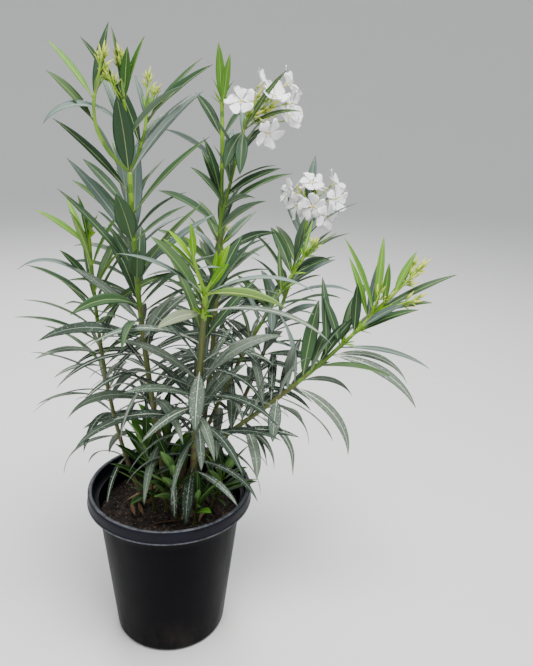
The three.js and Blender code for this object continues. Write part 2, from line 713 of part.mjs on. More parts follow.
// Bare stems and the stems of the masses come first, so that every leaf keeps clear of them
const masses = [];
canes.forEach((cane) => {
  const around = [...canes.values()]
    .filter((other) => cane.on && [other.name, other.on].includes(cane.on) && other.seed < cane.seed)
    .map((other) => limb(other, 0, other.length, TWIG_SIDES, GAP));
  let from = 0;
  if (cane.cuts.length > 1) {
    from = cane.cuts[0] * cane.length;
    const bare = limb(cane, 0, from, STEM_SIDES);
    place(bare, `stem_${cane.name}`);
    part.add(meshOf(`stem_${cane.name}`, bare, FINISH.wood));
    from += GAP;
  }
  const ends = cane.cuts.length > 1 ? cane.cuts.slice(1) : cane.cuts;
  ends.forEach((cut, index) => {
    const label = ends.length > 1 ? `_${['lower', 'upper'][index]}` : '';
    const to = cut * cane.length;
    let stem = limb(cane, from, to, TWIG_SIDES);
    around.forEach((other) => {
      stem = fuse([stem.subtract(other)]);
    });
    const mass = { name: `foliage_${cane.name}${label}`, cane, from, to, stem };
    place(stem, mass.name);
    masses.push(mass);
    from = to + GAP;
  });
});

BUD_CLUSTERS.forEach((spec, index) => {
  const cluster = budCluster(spec, canes.get(spec.on), CLUSTER_SEED + index);
  place(cluster, spec.name);
  part.add(meshOf(spec.name, cluster, FINISH.buds));
});
BLOSSOM_TRUSSES.forEach((spec, index) => {
  const truss = blossomTruss(spec, canes.get(spec.on), TRUSS_SEED + index);
  place(truss, spec.name);
  part.add(meshOf(spec.name, truss, FINISH.petals));
});
masses.forEach((mass) => {
  part.add(meshOf(mass.name, leafyMass(mass), mass.cane.finish));
});

export default part;
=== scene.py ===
"""A potted oleander: leafy canes with buds and white blossom in a round black nursery pot."""

import math

import bpy
import numpy as np
from bpy.props import FloatProperty, FloatVectorProperty, IntProperty, PointerProperty
from mathutils import Matrix, Vector, noise
from mathutils.bvhtree import BVHTree


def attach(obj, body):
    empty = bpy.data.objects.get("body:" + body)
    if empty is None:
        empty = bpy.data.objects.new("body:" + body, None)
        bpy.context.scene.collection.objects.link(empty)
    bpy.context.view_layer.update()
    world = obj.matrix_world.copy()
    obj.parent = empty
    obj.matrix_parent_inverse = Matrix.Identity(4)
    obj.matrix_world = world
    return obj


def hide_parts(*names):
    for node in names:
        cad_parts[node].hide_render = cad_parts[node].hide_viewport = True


bl_info = {
    "name": "Potted Oleander",
    "version": (1, 0, 0),
    "blender": (4, 5, 0),
    "location": "3D View > Sidebar > Oleander",
    "description": "Builds a potted oleander: pot, mix, canes, leaves, buds and blossom",
    "category": "Object",
}

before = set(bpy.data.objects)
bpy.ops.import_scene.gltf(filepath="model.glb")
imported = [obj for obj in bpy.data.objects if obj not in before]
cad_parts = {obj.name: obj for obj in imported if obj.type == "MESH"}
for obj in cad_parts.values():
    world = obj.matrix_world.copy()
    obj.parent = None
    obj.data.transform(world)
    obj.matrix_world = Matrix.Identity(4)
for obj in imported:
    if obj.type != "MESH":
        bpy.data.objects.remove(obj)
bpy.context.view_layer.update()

# Lengths are in millimetres until a piece's mesh is made
MM = 0.001
WORD = 0xFFFFFFFF
GOLDEN_ANGLE = 137.5
UP = np.array([0.0, 0.0, 1.0])
EAST = np.array([1.0, 0.0, 0.0])
SUNWARD = np.array([0.0, -0.7, 0.25])
TO_FRONT = np.array([0.06, -0.94, 0.34])

# Pot: outer radii and heights from the ground
POT_HEIGHT = 306
BAND_RADIUS = 152.5
LIP_RADIUS = 143
BAND_HEIGHT = 25
WALL_TOP_RADIUS = 134.5
WALL_FOOT_RADIUS = 106
FOOT_RADIUS = 97
FOOT_ROUNDING = 9
POT_WALL = 2.6
FLOOR_THICKNESS = 4
DRAIN_HOLES = 6
DRAIN_RADIUS = 7
DRAIN_CIRCLE = 76
SOIL_TOP = 256

# The lumps in the mix by their scale and height, the dead leaves on it with how far from the middle they
# lie and how long they are, and the sizes of its chips and its grit
MIX_LUMPS = ((0.035, 1.3), (0.11, 0.8), (0.3, 0.5))
DEAD_LEAVES = dict(count=13, away=(30, 96), length=(34, 66))
CHIP_SIZES, GRIT_SIZES = (1.4, 4.8), (0.7, 1.5)
GRIT_SHARE = 0.16

# Canes: how far a foot is sunk in the mix, the length of its sections, how it flares, the space kept at
# each end of a leafy stretch, and leaves to a whorl
CANE_SINK = 3.0
CANE_STEP = 4.5
FLARE = 0.55
FLARE_HEIGHT = 16
WHORL_MARGIN = 11
LEAVES_IN_WHORL = 3

# How a leaf stands at a cane's foot, half way and at its tip, with its length as a share of the longest
STANDS = {
    "open": (82, 62, 27),
    "bend": (84, 48, 14),
    "length": (0.76, 1.0, 0.86),
    "slim": (0.118, 0.134, 0.146),
}

# The kinds of leaf, by age and by the dust on them, and one kind whose pale tints are a painted reflection
# of the sky on the upper side. stance is how open, how wide and how bent a leaf stands against that rule,
# fold how far it folds up along its midrib and how far its edges curl down, gloss the roughness of its
# upper side, tints the colours of that side, under its lower side's colour and rib its midrib's.
KINDS = {
    "old": dict(
        stance=(1, 0.84, 1.08), fold=(0.34, 0.24), gloss=0.66, under=(118, 130, 116), rib=(204, 210, 194),
        tints=((70, 84, 70), (84, 98, 82), (56, 70, 58), (98, 110, 96), (48, 62, 50)),
    ),
    "dusty": dict(
        stance=(1, 1, 1), fold=(0.34, 0.2), gloss=0.66, under=(138, 150, 134), rib=(216, 222, 206),
        tints=((98, 114, 100), (108, 122, 106), (88, 102, 88)),
    ),
    "mature": dict(
        stance=(1, 1, 1), fold=(0.46, 0.06), gloss=0.44, under=(96, 118, 96), rib=(140, 162, 100),
        tints=((46, 71, 46), (57, 84, 52), (42, 65, 43), (70, 96, 56), (61, 85, 61)),
    ),
    # Painted reflection: these pale grey-green tints stand for the sky's sheen on a leaf's upper side
    "silver": dict(
        stance=(1, 0.92, 1.3), fold=(0.4, 0.1), gloss=0.5, under=(118, 134, 126), rib=(150, 166, 146),
        tints=((96, 114, 106), (112, 130, 120), (84, 102, 92)),
    ),
    "pale": dict(
        stance=(1, 1, 1), fold=(0.3, 0.1), gloss=0.6, under=(150, 162, 138), rib=(190, 202, 160),
        tints=((120, 134, 100), (126, 138, 108)),
    ),
    "fresh": dict(
        stance=(0.85, 0.88, 0.8), fold=(0.5, 0.04), gloss=0.46, under=(114, 148, 74), rib=(168, 192, 104),
        tints=((76, 124, 38), (92, 142, 46), (62, 106, 38), (104, 154, 52), (54, 94, 38)),
    ),
    # Young leaves are yellow-green, and their tints are made brighter still as painted light: they stand for
    # sun shining through the thin blades
    "young": dict(
        stance=(0.6, 1.1, 0.5), fold=(0.5, 0.0), gloss=0.56, under=(118, 166, 22), rib=(186, 216, 96),
        tints=((106, 160, 14), (122, 172, 20), (84, 132, 20), (98, 150, 20), (70, 116, 24)),
    ),
    "basal": dict(
        stance=(0.86, 1.4, 0.6), fold=(0.34, 0.05), gloss=0.34, under=(88, 124, 66), rib=(140, 172, 84),
        tints=((34, 70, 26), (44, 84, 30), (28, 58, 26), (38, 74, 26), (74, 128, 36)),
    ),
}
FOLDS = {kind: spec["fold"] for kind, spec in KINDS.items()} | {"dead": (0.5, 0.0)}

# The share of the old leaves whose midribs are dull, and the colour of those
DULL_MIDRIBS = 0.7
DULL_RIB = (146, 158, 142)

# The shares of a leaf's length that are its stalk and that may touch other leaves
STALK_SHARE = 0.045
CLEAR_FROM = 0.25

# How far one leaf may differ from the next: angles in degrees, sizes as a lowest and a highest share
DIFFERS = dict(open=8, compass=9, roll=30, twist=35, length=(0.88, 1.08), width=(0.92, 1.08), bend=(0.6, 1.5))
SLIMMEST, BROADEST = 0.8, 1.3

# Each later try at a leaf turns it further round the stem, lifts it and makes it shorter
LEAF_TRIES = 9
NEXT_TRY = dict(turn=6, further=5, lift=0.11, shorter=0.03)

# Leaves that stand out from the front, placed one by one, cane by cane: the share of the cane's length, the
# reach from there to the tip, the width, the bend, how far the upper side turns to the front (1) or away
# from it (-1), and the kind
CHOSEN_SEED = 9100
# Rows of the pale silver-looking kind carry a painted reflection: their tints stand for the sky's sheen
CHOSEN_LEAVES = (
    ("tall_left", (
        (1, (-10, -24, 110), 30, 12, 1, "mature"),
        (1, (110, 10, 120), 14, 24, -0.6, "silver"),
        (0.95, (-105, -20, 105), 16, 16, 0.5, "mature"),
        (0.83, (-100, 10, 122), 16, 12, 0.8, "silver"),
        (0.9, (120, -20, 120), 15, 16, 0.5, "mature"),
        (0.83, (0, 45, 150), 24, 10, 1, "silver"),
        (0.83, (-18, -26, 78), 31, 14, 1, "mature"),
        (0.73, (8, -30, 58), 28, 12, 1, "mature"),
        (0.83, (84, -20, 62), 13, 16, 0.4, "mature"),
        (0.74, (124, 20, 100), 15, 20, 0.5, "silver"),
        (0.74, (-38, -10, 82), 14, 12, 0.6, "mature"),
    )),
    ("tall_left_outer", (
        (0.7, (-60, -15, 65), 17, 16, 0.5, "mature"),
        (0.94, (-65, 10, 75), 12, 10, 0.4, "fresh"),
    )),
    ("tall_left_middle", (
        (0.62, (-98, -66, -2), 18, 100, 0.4, "silver"),
        (1, (-55, -10, 80), 14, 8, 0.5, "mature"),
        (1, (-12, -5, 95), 13, 6, 0.4, "mature"),
        (1, (10, -15, 70), 16, 6, 1, "fresh"),
        (1, (32, -5, 85), 14, 8, 0.5, "fresh"),
    )),
    ("tall_left_inner", (
        (0.9, (100, -10, 80), 19, 16, 0.5, "mature"),
        (0.84, (80, 40, 95), 14, 14, 0.3, "mature"),
    )),
    ("left", (
        (0.96, (-85, -10, 60), 12, 16, 0.5, "fresh"),
        (0.96, (-12, -10, 88), 12, 10, 0.6, "fresh"),
        (0.83, (-50, -10, 62), 15, 14, 0.5, "mature"),
        (0.83, (-120, -20, 20), 14, 95, 0.2, "silver"),
    )),
    ("tall_left", (
        (0.75, (-114, -10, 128), 14, 12, 0.5, "mature"),
        (0.74, (106, -14, 122), 13, 14, 0.5, "mature"),
    )),
    ("front_left", (
        (0.65, (-36, -10, 48), 11, 8, 0.5, "young"),
        (0.65, (-4, -14, 62), 11, 6, 0.8, "young"),
        (0.52, (-48, -6, 44), 9, 10, 0.4, "young"),
        (0.5, (34, -10, 6), 7, 20, 0.2, "silver"),
    )),
    ("front_right", (
        (0.4, (24, -14, 60), 15, 6, 0.8, "young"),
        (0.24, (28, -26, 42), 15, 8, 0.8, "young"),
        (0.5, (4, -16, 44), 10, 6, 0.8, "young"),
    )),
    ("front", (
        (1, (-130, -10, 55), 13, 40, 0.2, "silver"),
        (1, (160, -20, 10), 12, 62, 0.2, "silver"),
        (1, (120, -50, -5), 18, 34, -0.6, "fresh"),
        (0.93, (195, -10, -50), 13, 60, 0.3, "dusty"),
        (0.92, (-62, -50, -12), 20, 40, 0.7, "pale"),
        (0.81, (80, 50, 90), 16, 14, 0.8, "mature"),
        (0.8, (-165, -40, -5), 16, 70, 0.3, "dusty"),
        (0.69, (100, 0, -90), 11, 90, 0.3, "old"),
        (0.68, (0, -60, -80), 27, 60, 0, "dusty"),
        (0.5, (12, -50, -85), 17, 60, 0, "dusty"),
        (0.27, (110, -30, -65), 13, 70, 0.4, "old"),
        (0.24, (-5, -50, -90), 22, 60, 0, "old"),
        (0.22, (80, -50, -40), 13, 50, 0.4, "dusty"),
    )),
    ("basal_front", (
        (0.94, (8, -40, -70), 13, 70, 0, "old"),
    )),
    ("leaning", (
        (0.4, (25, -50, -85), 21, 90, 0, "dusty"),
        (0.45, (60, -10, -120), 15, 90, 0.4, "dusty"),
        (0.55, (-5, -45, -65), 24, 50, 0, "dusty"),
        (0.62, (100, -20, -130), 20, 70, 0.6, "dusty"),
        (0.65, (95, 20, -40), 13, 76, 0.4, "old"),
        (0.79, (140, 10, -60), 16, 76, 0.4, "dusty"),
        (0.79, (155, -20, -95), 20, 60, 0.6, "dusty"),
        (0.83, (160, -20, -30), 11, 40, 0.5, "silver"),
        (0.84, (-35, 20, 85), 16, 10, 0.8, "mature"),
        (0.9, (0, 10, 90), 18, 10, 1, "mature"),
        (0.97, (-40, 30, 105), 13, 10, 0.6, "fresh"),
        (0.96, (20, 40, 110), 14, 12, 0.4, "silver"),
        (1, (95, -10, 25), 14, 24, 0.5, "mature"),
        (1, (110, 30, 50), 13, 20, 0.4, "silver"),
        (0.9, (105, -20, 55), 16, 24, 0.5, "mature"),
        (0.93, (65, -30, 55), 16, 20, 0.5, "silver"),
        (1, (-65, -10, 135), 16, 10, 0.5, "fresh"),
        (1, (5, 20, 135), 14, 8, 0.6, "fresh"),
        (1, (140, 20, 70), 14, 16, 0.5, "mature"),
        (1.04, (0, -5, 80), 13, 8, 1, "fresh"),
        (1.08, (35, 10, 80), 13, 10, 0.6, "fresh"),
    )),
    ("tall_back", (
        (0.78, (100, -10, 55), 18, 24, 0.5, "mature"),
        (0.75, (120, -20, 70), 18, 30, 0.4, "mature"),
        (1, (-5, -20, 90), 15, 8, 1, "fresh"),
        (0.99, (12, -14, 82), 13, 8, 1, "fresh"),
        (0.79, (-30, -10, 94), 16, 14, 0.6, "mature"),
        (0.78, (-36, 20, 78), 16, 16, 0.6, "mature"),
    )),
    ("tall_back_side", (
        (1, (92, -40, 32), 10, 40, 0.6, "mature"),
        (1, (68, -44, 96), 9, 20, 0.9, "mature"),
    )),
    ("right", (
        (0.78, (4, -36, -36), 16, 30, 0.2, "silver"),
    )),
    ("tall_back_side", (
        (0.98, (-26, -30, -62), 22, 40, 1, "mature"),
        (0.98, (-2, -36, -68), 21, 40, 1, "mature"),
    )),
)

# A leaf of a whorl is left out where a chosen one starts this near to it, in millimetres, and heads this
# nearly the same way, in degrees
CHOSEN_NEAR = 26
CHOSEN_ALIKE = 42

# Canes whose stem shows bare from the front: the share of their length from which it does, and how far
# forward a leaf may head there. No leaf lies along the stem there either, its direction this much alike,
# unless it heads this far back.
BARE_IN_FRONT = {
    "leaning": (0.3, 0.36), "front": (0.58, 0.36), "tall_left": (0.7, -0.72), "tall_left_middle": (0, 0.3),
    "tall_left_outer": (0, -0.25), "tall_back": (0.5, 0.5),
}
LIES_ALONG = 0.9
STANDS_BACK = -0.15

# The share of a cane's length from which it has whorls between its whorls
BETWEEN_FROM = 0.36

# Tufts of small leaves: how open, how long and how bent they stand, how slim they are and the share of
# their length from which they stand clear. In an axil, how far a tuft leans away, its longest leaf in
# millimetres and its count of leaves. At a tip, its longest leaf as a share of the cane's, and its count
# with and without buds above it.
TUFT = dict(open=(7, 30), length=(0.62, 1), longer=(0.9, 1.1), bend=(2, 16), slim=0.17, clear_from=0.5)
AXIL = dict(lean=38, longest=34, count=3)
TIP = dict(longest=0.3, under_buds=4, count=6)

# Leaves are old below this share of a cane's length, and fresh above the other on the canes that still
# grow. The shares differ a little from leaf to leaf. Of the rest, those whose chance lies between two
# limits get the pale tints of a painted sky reflection.
OLD_UNTIL = {"front": 0.7, "leaning": 0.56}
OLD_ELSE = 0.6
AGES_DIFFER = (-0.08, 0.08)
PAINTED_SHEEN_CHANCES = (0.42, 0.58)
FRESH_FROM = {"leaning": 0.9, "right": 0.92, "left": 0.86, "tall_left_middle": 0.95, "tall_back": 0.95}

# The seed of the first cane, the first side shoot and the first basal shoot, and how old the skin is at the
# foot of each, where 0 is old bark and 1 a growing tip
CANE_SEED, SHOOT_SEED, BASAL_SEED = 1, 21, 41
CANE_FOOT, SHOOT_FOOT, BASAL_FOOT = 0, 0.75, 0.45

# Every cane runs on one smooth curve from its foot in the mix, by its bends, to its tip. wide and thin are
# its diameters there, step is the space between whorls, leaf its longest leaf, turn the compass angle of
# its first whorl, bare the share of its length below its leaves, fill the share of its length that has
# whorls between its whorls, and axils how many whorls below its tip hold small shoots.
CANES = {
    "tall_left": dict(
        route=((8, -8, SOIL_TOP), (-50, -30, 582), (-49, -51, 887)),
        wide=11.5, thin=7.6, step=60, leaf=178, turn=30, bare=0.16, fill=0.74, axils=0,
    ),
    "left": dict(
        route=((-50, 8, SOIL_TOP), (-128, 18, 420), (-138, 30, 770)),
        wide=8.6, thin=5.6, step=46, leaf=160, turn=200, bare=0.12, fill=0.8, axils=1, slender=0.72,
    ),
    "front": dict(
        route=((40, -24, SOIL_TOP), (57, -49, 515), (73, -109, 718)),
        wide=13, thin=9.6, step=36, leaf=170, turn=10, bare=0.2, fill=1, axils=2,
    ),
    "leaning": dict(
        route=((34, 4, SOIL_TOP), (40, 5, 425), (133, 22, 380), (361, 50, 645)),
        wide=11, thin=6.4, step=37, leaf=158, turn=0, bare=0.2, fill=0.9, axils=3,
    ),
    "right": dict(
        route=((18, 24, SOIL_TOP), (77, 40, 494), (235, 122, 728)),
        wide=9, thin=5.6, step=36, leaf=104, turn=50, bare=0.24, fill=0.5, axils=3, slender=0.8,
    ),
    "tall_back": dict(
        route=((38, 52, SOIL_TOP), (92, 68, 640), (76, 118, 990)),
        wide=11, thin=6.2, step=52, leaf=140, turn=78, bare=0.22, fill=0.62, axils=1,
    ),
    "back_right": dict(
        route=((54, 74, SOIL_TOP), (211, 98, 626), (240, 211, 786)),
        wide=9, thin=5.8, step=46, leaf=138, turn=15, bare=0.24, fill=0.85, axils=1,
    ),
    "back_left": dict(
        route=((-18, 50, SOIL_TOP), (-70, 110, 600), (-112, 190, 850)),
        wide=10, thin=6, step=56, leaf=156, turn=100, bare=0.2, fill=0.9, axils=1,
    ),
    "back": dict(
        route=((10, 84, SOIL_TOP), (60, 150, 540), (70, 250, 716)),
        wide=9.6, thin=6, step=54, leaf=150, turn=160, bare=0.2, fill=0.9, axils=1,
    ),
}

# Side shoots start on a cane, at a share of its length, and are leafy over their whole length
SHOOTS = {
    "tall_left_middle": dict(
        on="tall_left", start=1, bends=((-50, -58, 946), (-53, -60, 992)),
        wide=6.6, thin=4.6, step=46, leaf=138, turn=70,
    ),
    "tall_left_outer": dict(
        on="tall_left", start=1, bends=((-104, -84, 935), (-86, -92, 1000)),
        wide=6, thin=4.4, step=40, leaf=132, turn=190,
    ),
    "tall_left_inner": dict(
        on="tall_left", start=1, bends=((-28, -34, 926), (-27, -22, 972)),
        wide=6, thin=4.4, step=42, leaf=132, turn=22,
    ),
    "front_left": dict(
        on="front", start=1, bends=((58, -122, 762), (52, -130, 800)),
        wide=6.6, thin=4.4, step=22, leaf=54, turn=100,
    ),
    "front_right": dict(
        on="front", start=1, bends=((88, -108, 742), (97, -98, 772)),
        wide=6.4, thin=4.4, step=22, leaf=50, turn=40,
    ),
    "tall_back_side": dict(
        on="tall_back", start=0.72, bends=((100, 92, 880), (116, 96, 946)),
        wide=5.8, thin=4.4, step=42, leaf=104, turn=120,
    ),
}

# Young shoots straight from the mix at the foot of the clump
BASAL_SHOOTS = {
    "basal_front": dict(
        route=((16, -40, SOIL_TOP), (19, -50, 320), (12, -54, 372)),
        wide=6, thin=4, step=33, leaf=100, turn=20, fill=1,
    ),
    "basal_left": dict(
        route=((-28, -14, SOIL_TOP), (-34, -22, 340), (-40, -22, 404)),
        wide=5.6, thin=4, step=36, leaf=96, turn=80, fill=1,
    ),
    "basal_right": dict(
        route=((78, -4, SOIL_TOP), (92, -12, 300), (104, -16, 350)),
        wide=5.6, thin=4, step=32, leaf=90, turn=45, fill=1,
    ),
    "basal_back": dict(
        route=((-14, 84, SOIL_TOP), (-22, 100, 330), (-34, 108, 380)),
        wide=5.6, thin=4, step=36, leaf=92, turn=0, fill=1,
    ),
    "basal_middle": dict(
        route=((-4, -20, SOIL_TOP), (-6, -28, 300), (-8, -34, 346)),
        wide=5, thin=3.6, step=26, leaf=84, turn=70, fill=1,
    ),
    "basal_inner": dict(
        route=((52, -56, SOIL_TOP), (56, -64, 290), (60, -70, 322)),
        wide=5, thin=3.6, step=26, leaf=76, turn=10, fill=1,
    ),
}

# Clusters of closed buds: the cane, the reach of the stalk, how many buds and how large they are
BUD_CLUSTERS = (
    ("tall_left_middle", 56, 8, 1),
    ("tall_left_outer", 50, 7, 1),
    ("tall_left_inner", 48, 6, 1),
    ("leaning", 112, 11, 1.25),
    ("right", 20, 5, 1),
    ("back_left", 32, 6, 1),
    ("back", 28, 5, 1),
)
BUD_LENGTH = 17
BUD_RADIUS = 1.9

# How the buds of a cluster change from its lowest to its highest
CLUSTER = dict(place=(0.6, 0.97), spread=(36, 9), stalk=(11, 6), longer=(0.9, 1.1), size=(0.85, 1.1))

# Small clusters beside the main ones: the cane, the share of its length, the reach of the stalk, how many
# buds and how large they are
SIDE_CLUSTERS = (
    ("leaning", 0.96, (22, 0, 62), 5, 1.2),
    ("leaning", 1, (66, -14, 34), 5, 1.2),
    ("leaning", 1, (60, 16, 84), 5, 1.2),
    ("tall_left_middle", 0.99, (-22, -10, 30), 4, 1),
    ("tall_left_middle", 0.8, (-22, -14, 56), 5, 1),
    ("tall_left_inner", 1, (14, -8, 26), 4, 1),
)

# Open trusses: the CAD name, the cane, the reach of the stalk, and the place of each flower's throat and
# each bud's tip from the top of the stalk. A petal is broadest at its shoulder, a share of its length.
BLOSSOM_TRUSSES = (
    ("blossom_tall_back", "tall_back_side", 20,
     ((-10, -32, 26), (24, 14, 54), (44, -14, 36), (66, 20, 56), (74, -14, 26), (38, -36, -22), (70, 4, 4),
      (14, 30, 34)),
     ((52, 0, 46), (48, -22, 18), (42, -16, 2), (12, -10, 30), (58, -20, 32), (30, -24, 14), (26, -8, 52))),
    ("blossom_back_right", "back_right", 18,
     ((-46, -4, 24), (-28, -30, 4), (0, -6, 46), (46, 8, 44), (48, -24, 18), (2, -50, 6), (30, -52, -10),
      (14, 30, 32), (-28, 24, 22)),
     ((-30, -12, 42), (16, -38, 22), (4, 6, 58), (-22, -44, 24), (16, -10, 46), (-8, -50, -14))),
)
PETAL_LENGTH = 23
PETAL_WIDTH = 24
PETAL_SHOULDER = 0.72
PETAL_THICKNESS = 0.45
PETALS = 5
TUBE_LENGTH = 13
FLOWER_BUD_SIZE = 1.4

# Where the camera stands, its tilt down and its roll in degrees, and its lens against a 36 mm sensor
CAMERA_PLACE = (169.1, -1100.7, 1029.2)
CAMERA_TILT = 20.56
CAMERA_ROLL = 2.53
CAMERA_LENS = 36.76

# The studio floor: how far it lies flat, the radius of its curved edge and the height of the wall above
FLOOR_REACH = 5000
FLOOR_CURVE = 3200
WALL_HEIGHT = 1400


def lerp(low, high, share):
    """The value at a share of the way from low to high."""
    return low + (high - low) * share


def between(limits, share):
    """The value at a share of the way between two limits."""
    return lerp(*limits, share)


def either(degrees, share):
    """A turn one way or the other, up to a number of degrees."""
    return lerp(-degrees, degrees, share)


def unit(vector):
    """A vector's direction."""
    return vector / np.linalg.norm(vector)


def smooth(share):
    """A share from 0 to 1 that eases in and out."""
    share = np.clip(share, 0, 1)
    return share * share * (3 - 2 * share)


def stream(seed):
    """A repeatable run of numbers from 0 to 1."""
    state = (seed * 2654435761) & WORD

    def draw():
        nonlocal state
        state = (state + 0x6D2B79F5) & WORD
        mixed = ((state ^ (state >> 15)) * (state | 1)) & WORD
        mixed = ((mixed + (mixed ^ (mixed >> 7)) * (mixed | 61)) & WORD) ^ mixed
        return ((mixed ^ (mixed >> 14)) & WORD) / 2**32

    return draw


def square_to(axis):
    """Two directions square to an axis, the first as near to east as it can be."""
    across = unit(EAST - axis * EAST.dot(axis))
    return across, np.cross(axis, across)


def leaning(axis, angle, compass):
    """The direction that leans away from an axis by an angle, at a compass angle round it, in degrees."""
    across, aside = square_to(axis)
    angle, compass = math.radians(angle), math.radians(compass)
    return axis * math.cos(angle) + math.sin(angle) * (across * math.cos(compass) + aside * math.sin(compass))


class Cane:
    """A limb on one smooth curve, read by shares of its length."""

    def __init__(self, name, spec, seed, oldest, route):
        self.name = name
        self.seed = seed
        self.oldest = oldest
        self.spec = spec
        self.on = spec.get("on")
        self.bare = spec.get("bare", 0)
        self.fill = spec.get("fill", 0)
        self.axils = spec.get("axils", 0)
        self.wide, self.thin, self.step = spec["wide"], spec["thin"], spec["step"]
        self.points = np.array(route, float)
        self.times = np.linspace(0, 1, 401)
        places = np.array([self.curve(time) for time in self.times])
        steps = np.linalg.norm(np.diff(places, axis=0), axis=1)
        self.lengths = np.concatenate([[0], np.cumsum(steps)])
        self.length = self.lengths[-1]

    def curve(self, time):
        """The point at a time from 0 to 1 on the Bezier curve."""
        points = self.points
        while len(points) > 1:
            points = points[:-1] + (points[1:] - points[:-1]) * time
        return points[0]

    def at(self, share):
        """The point at a share of the length."""
        return self.curve(np.interp(share * self.length, self.lengths, self.times))

    def axis(self, share):
        """The direction at a share of the length."""
        time = np.interp(share * self.length, self.lengths, self.times)
        points = self.points[1:] - self.points[:-1]
        while len(points) > 1:
            points = points[:-1] + (points[1:] - points[:-1]) * time
        return unit(points[0])

    def whorls(self):
        """The distance along the cane of each whorl, the highest first."""
        count = int((self.length - WHORL_MARGIN) // self.step) + 1
        return [self.length - WHORL_MARGIN - index * self.step for index in range(count)]


def grow_canes():
    """Every cane, side shoot and basal shoot by name."""
    canes = {}
    for index, (name, spec) in enumerate(CANES.items()):
        canes[name] = Cane(name, spec, CANE_SEED + index, CANE_FOOT, spec["route"])
    for index, (name, spec) in enumerate(SHOOTS.items()):
        start = tuple(canes[spec["on"]].at(spec["start"]))
        canes[name] = Cane(name, spec, SHOOT_SEED + index, SHOOT_FOOT, (start, *spec["bends"]))
    for index, (name, spec) in enumerate(BASAL_SHOOTS.items()):
        canes[name] = Cane(name, spec, BASAL_SEED + index, BASAL_FOOT, spec["route"])
    return canes


CLUMP = grow_canes()


# Meshes


class Skin:
    """Corners and faces of one joined piece, with the slot of each face."""

    def __init__(self):
        self.corners = []
        self.faces = []
        self.slots = []
        self.count = 0

    def add(self, corners, faces, slots):
        """Adds corners, faces that count from the first of them, and one slot or one for each face."""
        self.corners.append(np.asarray(corners, float).reshape(-1, 3))
        self.faces.extend([tuple(corner + self.count for corner in face) for face in faces])
        self.slots.extend([slots] * len(faces) if isinstance(slots, int) else slots)
        self.count += len(self.corners[-1])

    def loft(self, rings, slots=0):
        """Adds rings of points as one closed skin. slots is one slot, a row or a row for each ring."""
        rings = np.asarray(rings, float)
        count, sides = rings.shape[:2]
        slots = np.broadcast_to(slots, (count, sides))
        ends = [tuple(reversed(range(sides))), tuple(range((count - 1) * sides, count * sides))]
        kinds = [*slots[:-1].ravel().tolist(), int(slots[0, 0]), int(slots[-1, 0])]
        self.add(rings, grid_faces(count, sides) + ends, kinds)


def grid_faces(rows, sides):
    """The faces between rows of points that run round in rings."""
    faces = []
    for first in range(0, (rows - 1) * sides, sides):
        for side in range(sides):
            following = (side + 1) % sides
            faces.append((first + side, first + following, first + sides + following, first + sides + side))
    return faces


def make_piece(name, skin, materials, is_smooth=True):
    """The mesh object of a skin, in metres."""
    mesh = bpy.data.meshes.new(name)
    mesh.from_pydata((np.concatenate(skin.corners) * MM).tolist(), [], skin.faces)
    for material in materials:
        mesh.materials.append(material)
    mesh.polygons.foreach_set("material_index", np.array(skin.slots, np.int32))
    mesh.polygons.foreach_set("use_smooth", np.full(len(mesh.polygons), is_smooth))
    mesh.update()
    piece = bpy.data.objects.new(name, mesh)
    bpy.context.scene.collection.objects.link(piece)
    return piece


def settle(piece, nodes=()):
    """Lets a piece ride on the part and hides the solids that it stands for."""
    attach(piece, "root")
    if nodes:
        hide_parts(*nodes)


def nodes_named(start, end=""):
    """The solids whose names start and end so."""
    return [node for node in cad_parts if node.startswith(start) and node.endswith(end)]


def around(sides):
    """The angles of points spaced evenly round a ring."""
    return np.arange(sides) * 2 * math.pi / sides


def ring(centre, radius, across, aside, sides, turn=0.0):
    """A ring of points round a centre, its first point turned by an angle."""
    angles = around(sides) + turn
    radius = np.broadcast_to(radius, sides)
    return centre + np.outer(radius * np.cos(angles), across) + np.outer(radius * np.sin(angles), aside)


def level_ring(radius, height, sides):
    """A level ring of points round the pot's axis."""
    return ring(UP * height, radius, *square_to(UP), sides)


def spindle(start, axis, profile, sides):
    """Rings along an axis for a profile of (distance, radius)."""
    across, aside = square_to(axis)
    return [ring(start + axis * distance, radius, across, aside, sides) for distance, radius in profile]


# Materials


def screen(red, green, blue):
    """A colour from 0 to 255, as it looks on a screen, as the light that a shader takes."""
    shares = (red / 255, green / 255, blue / 255)
    return tuple(share / 12.92 if share < 0.04 else ((share + 0.055) / 1.055) ** 2.4 for share in shares)


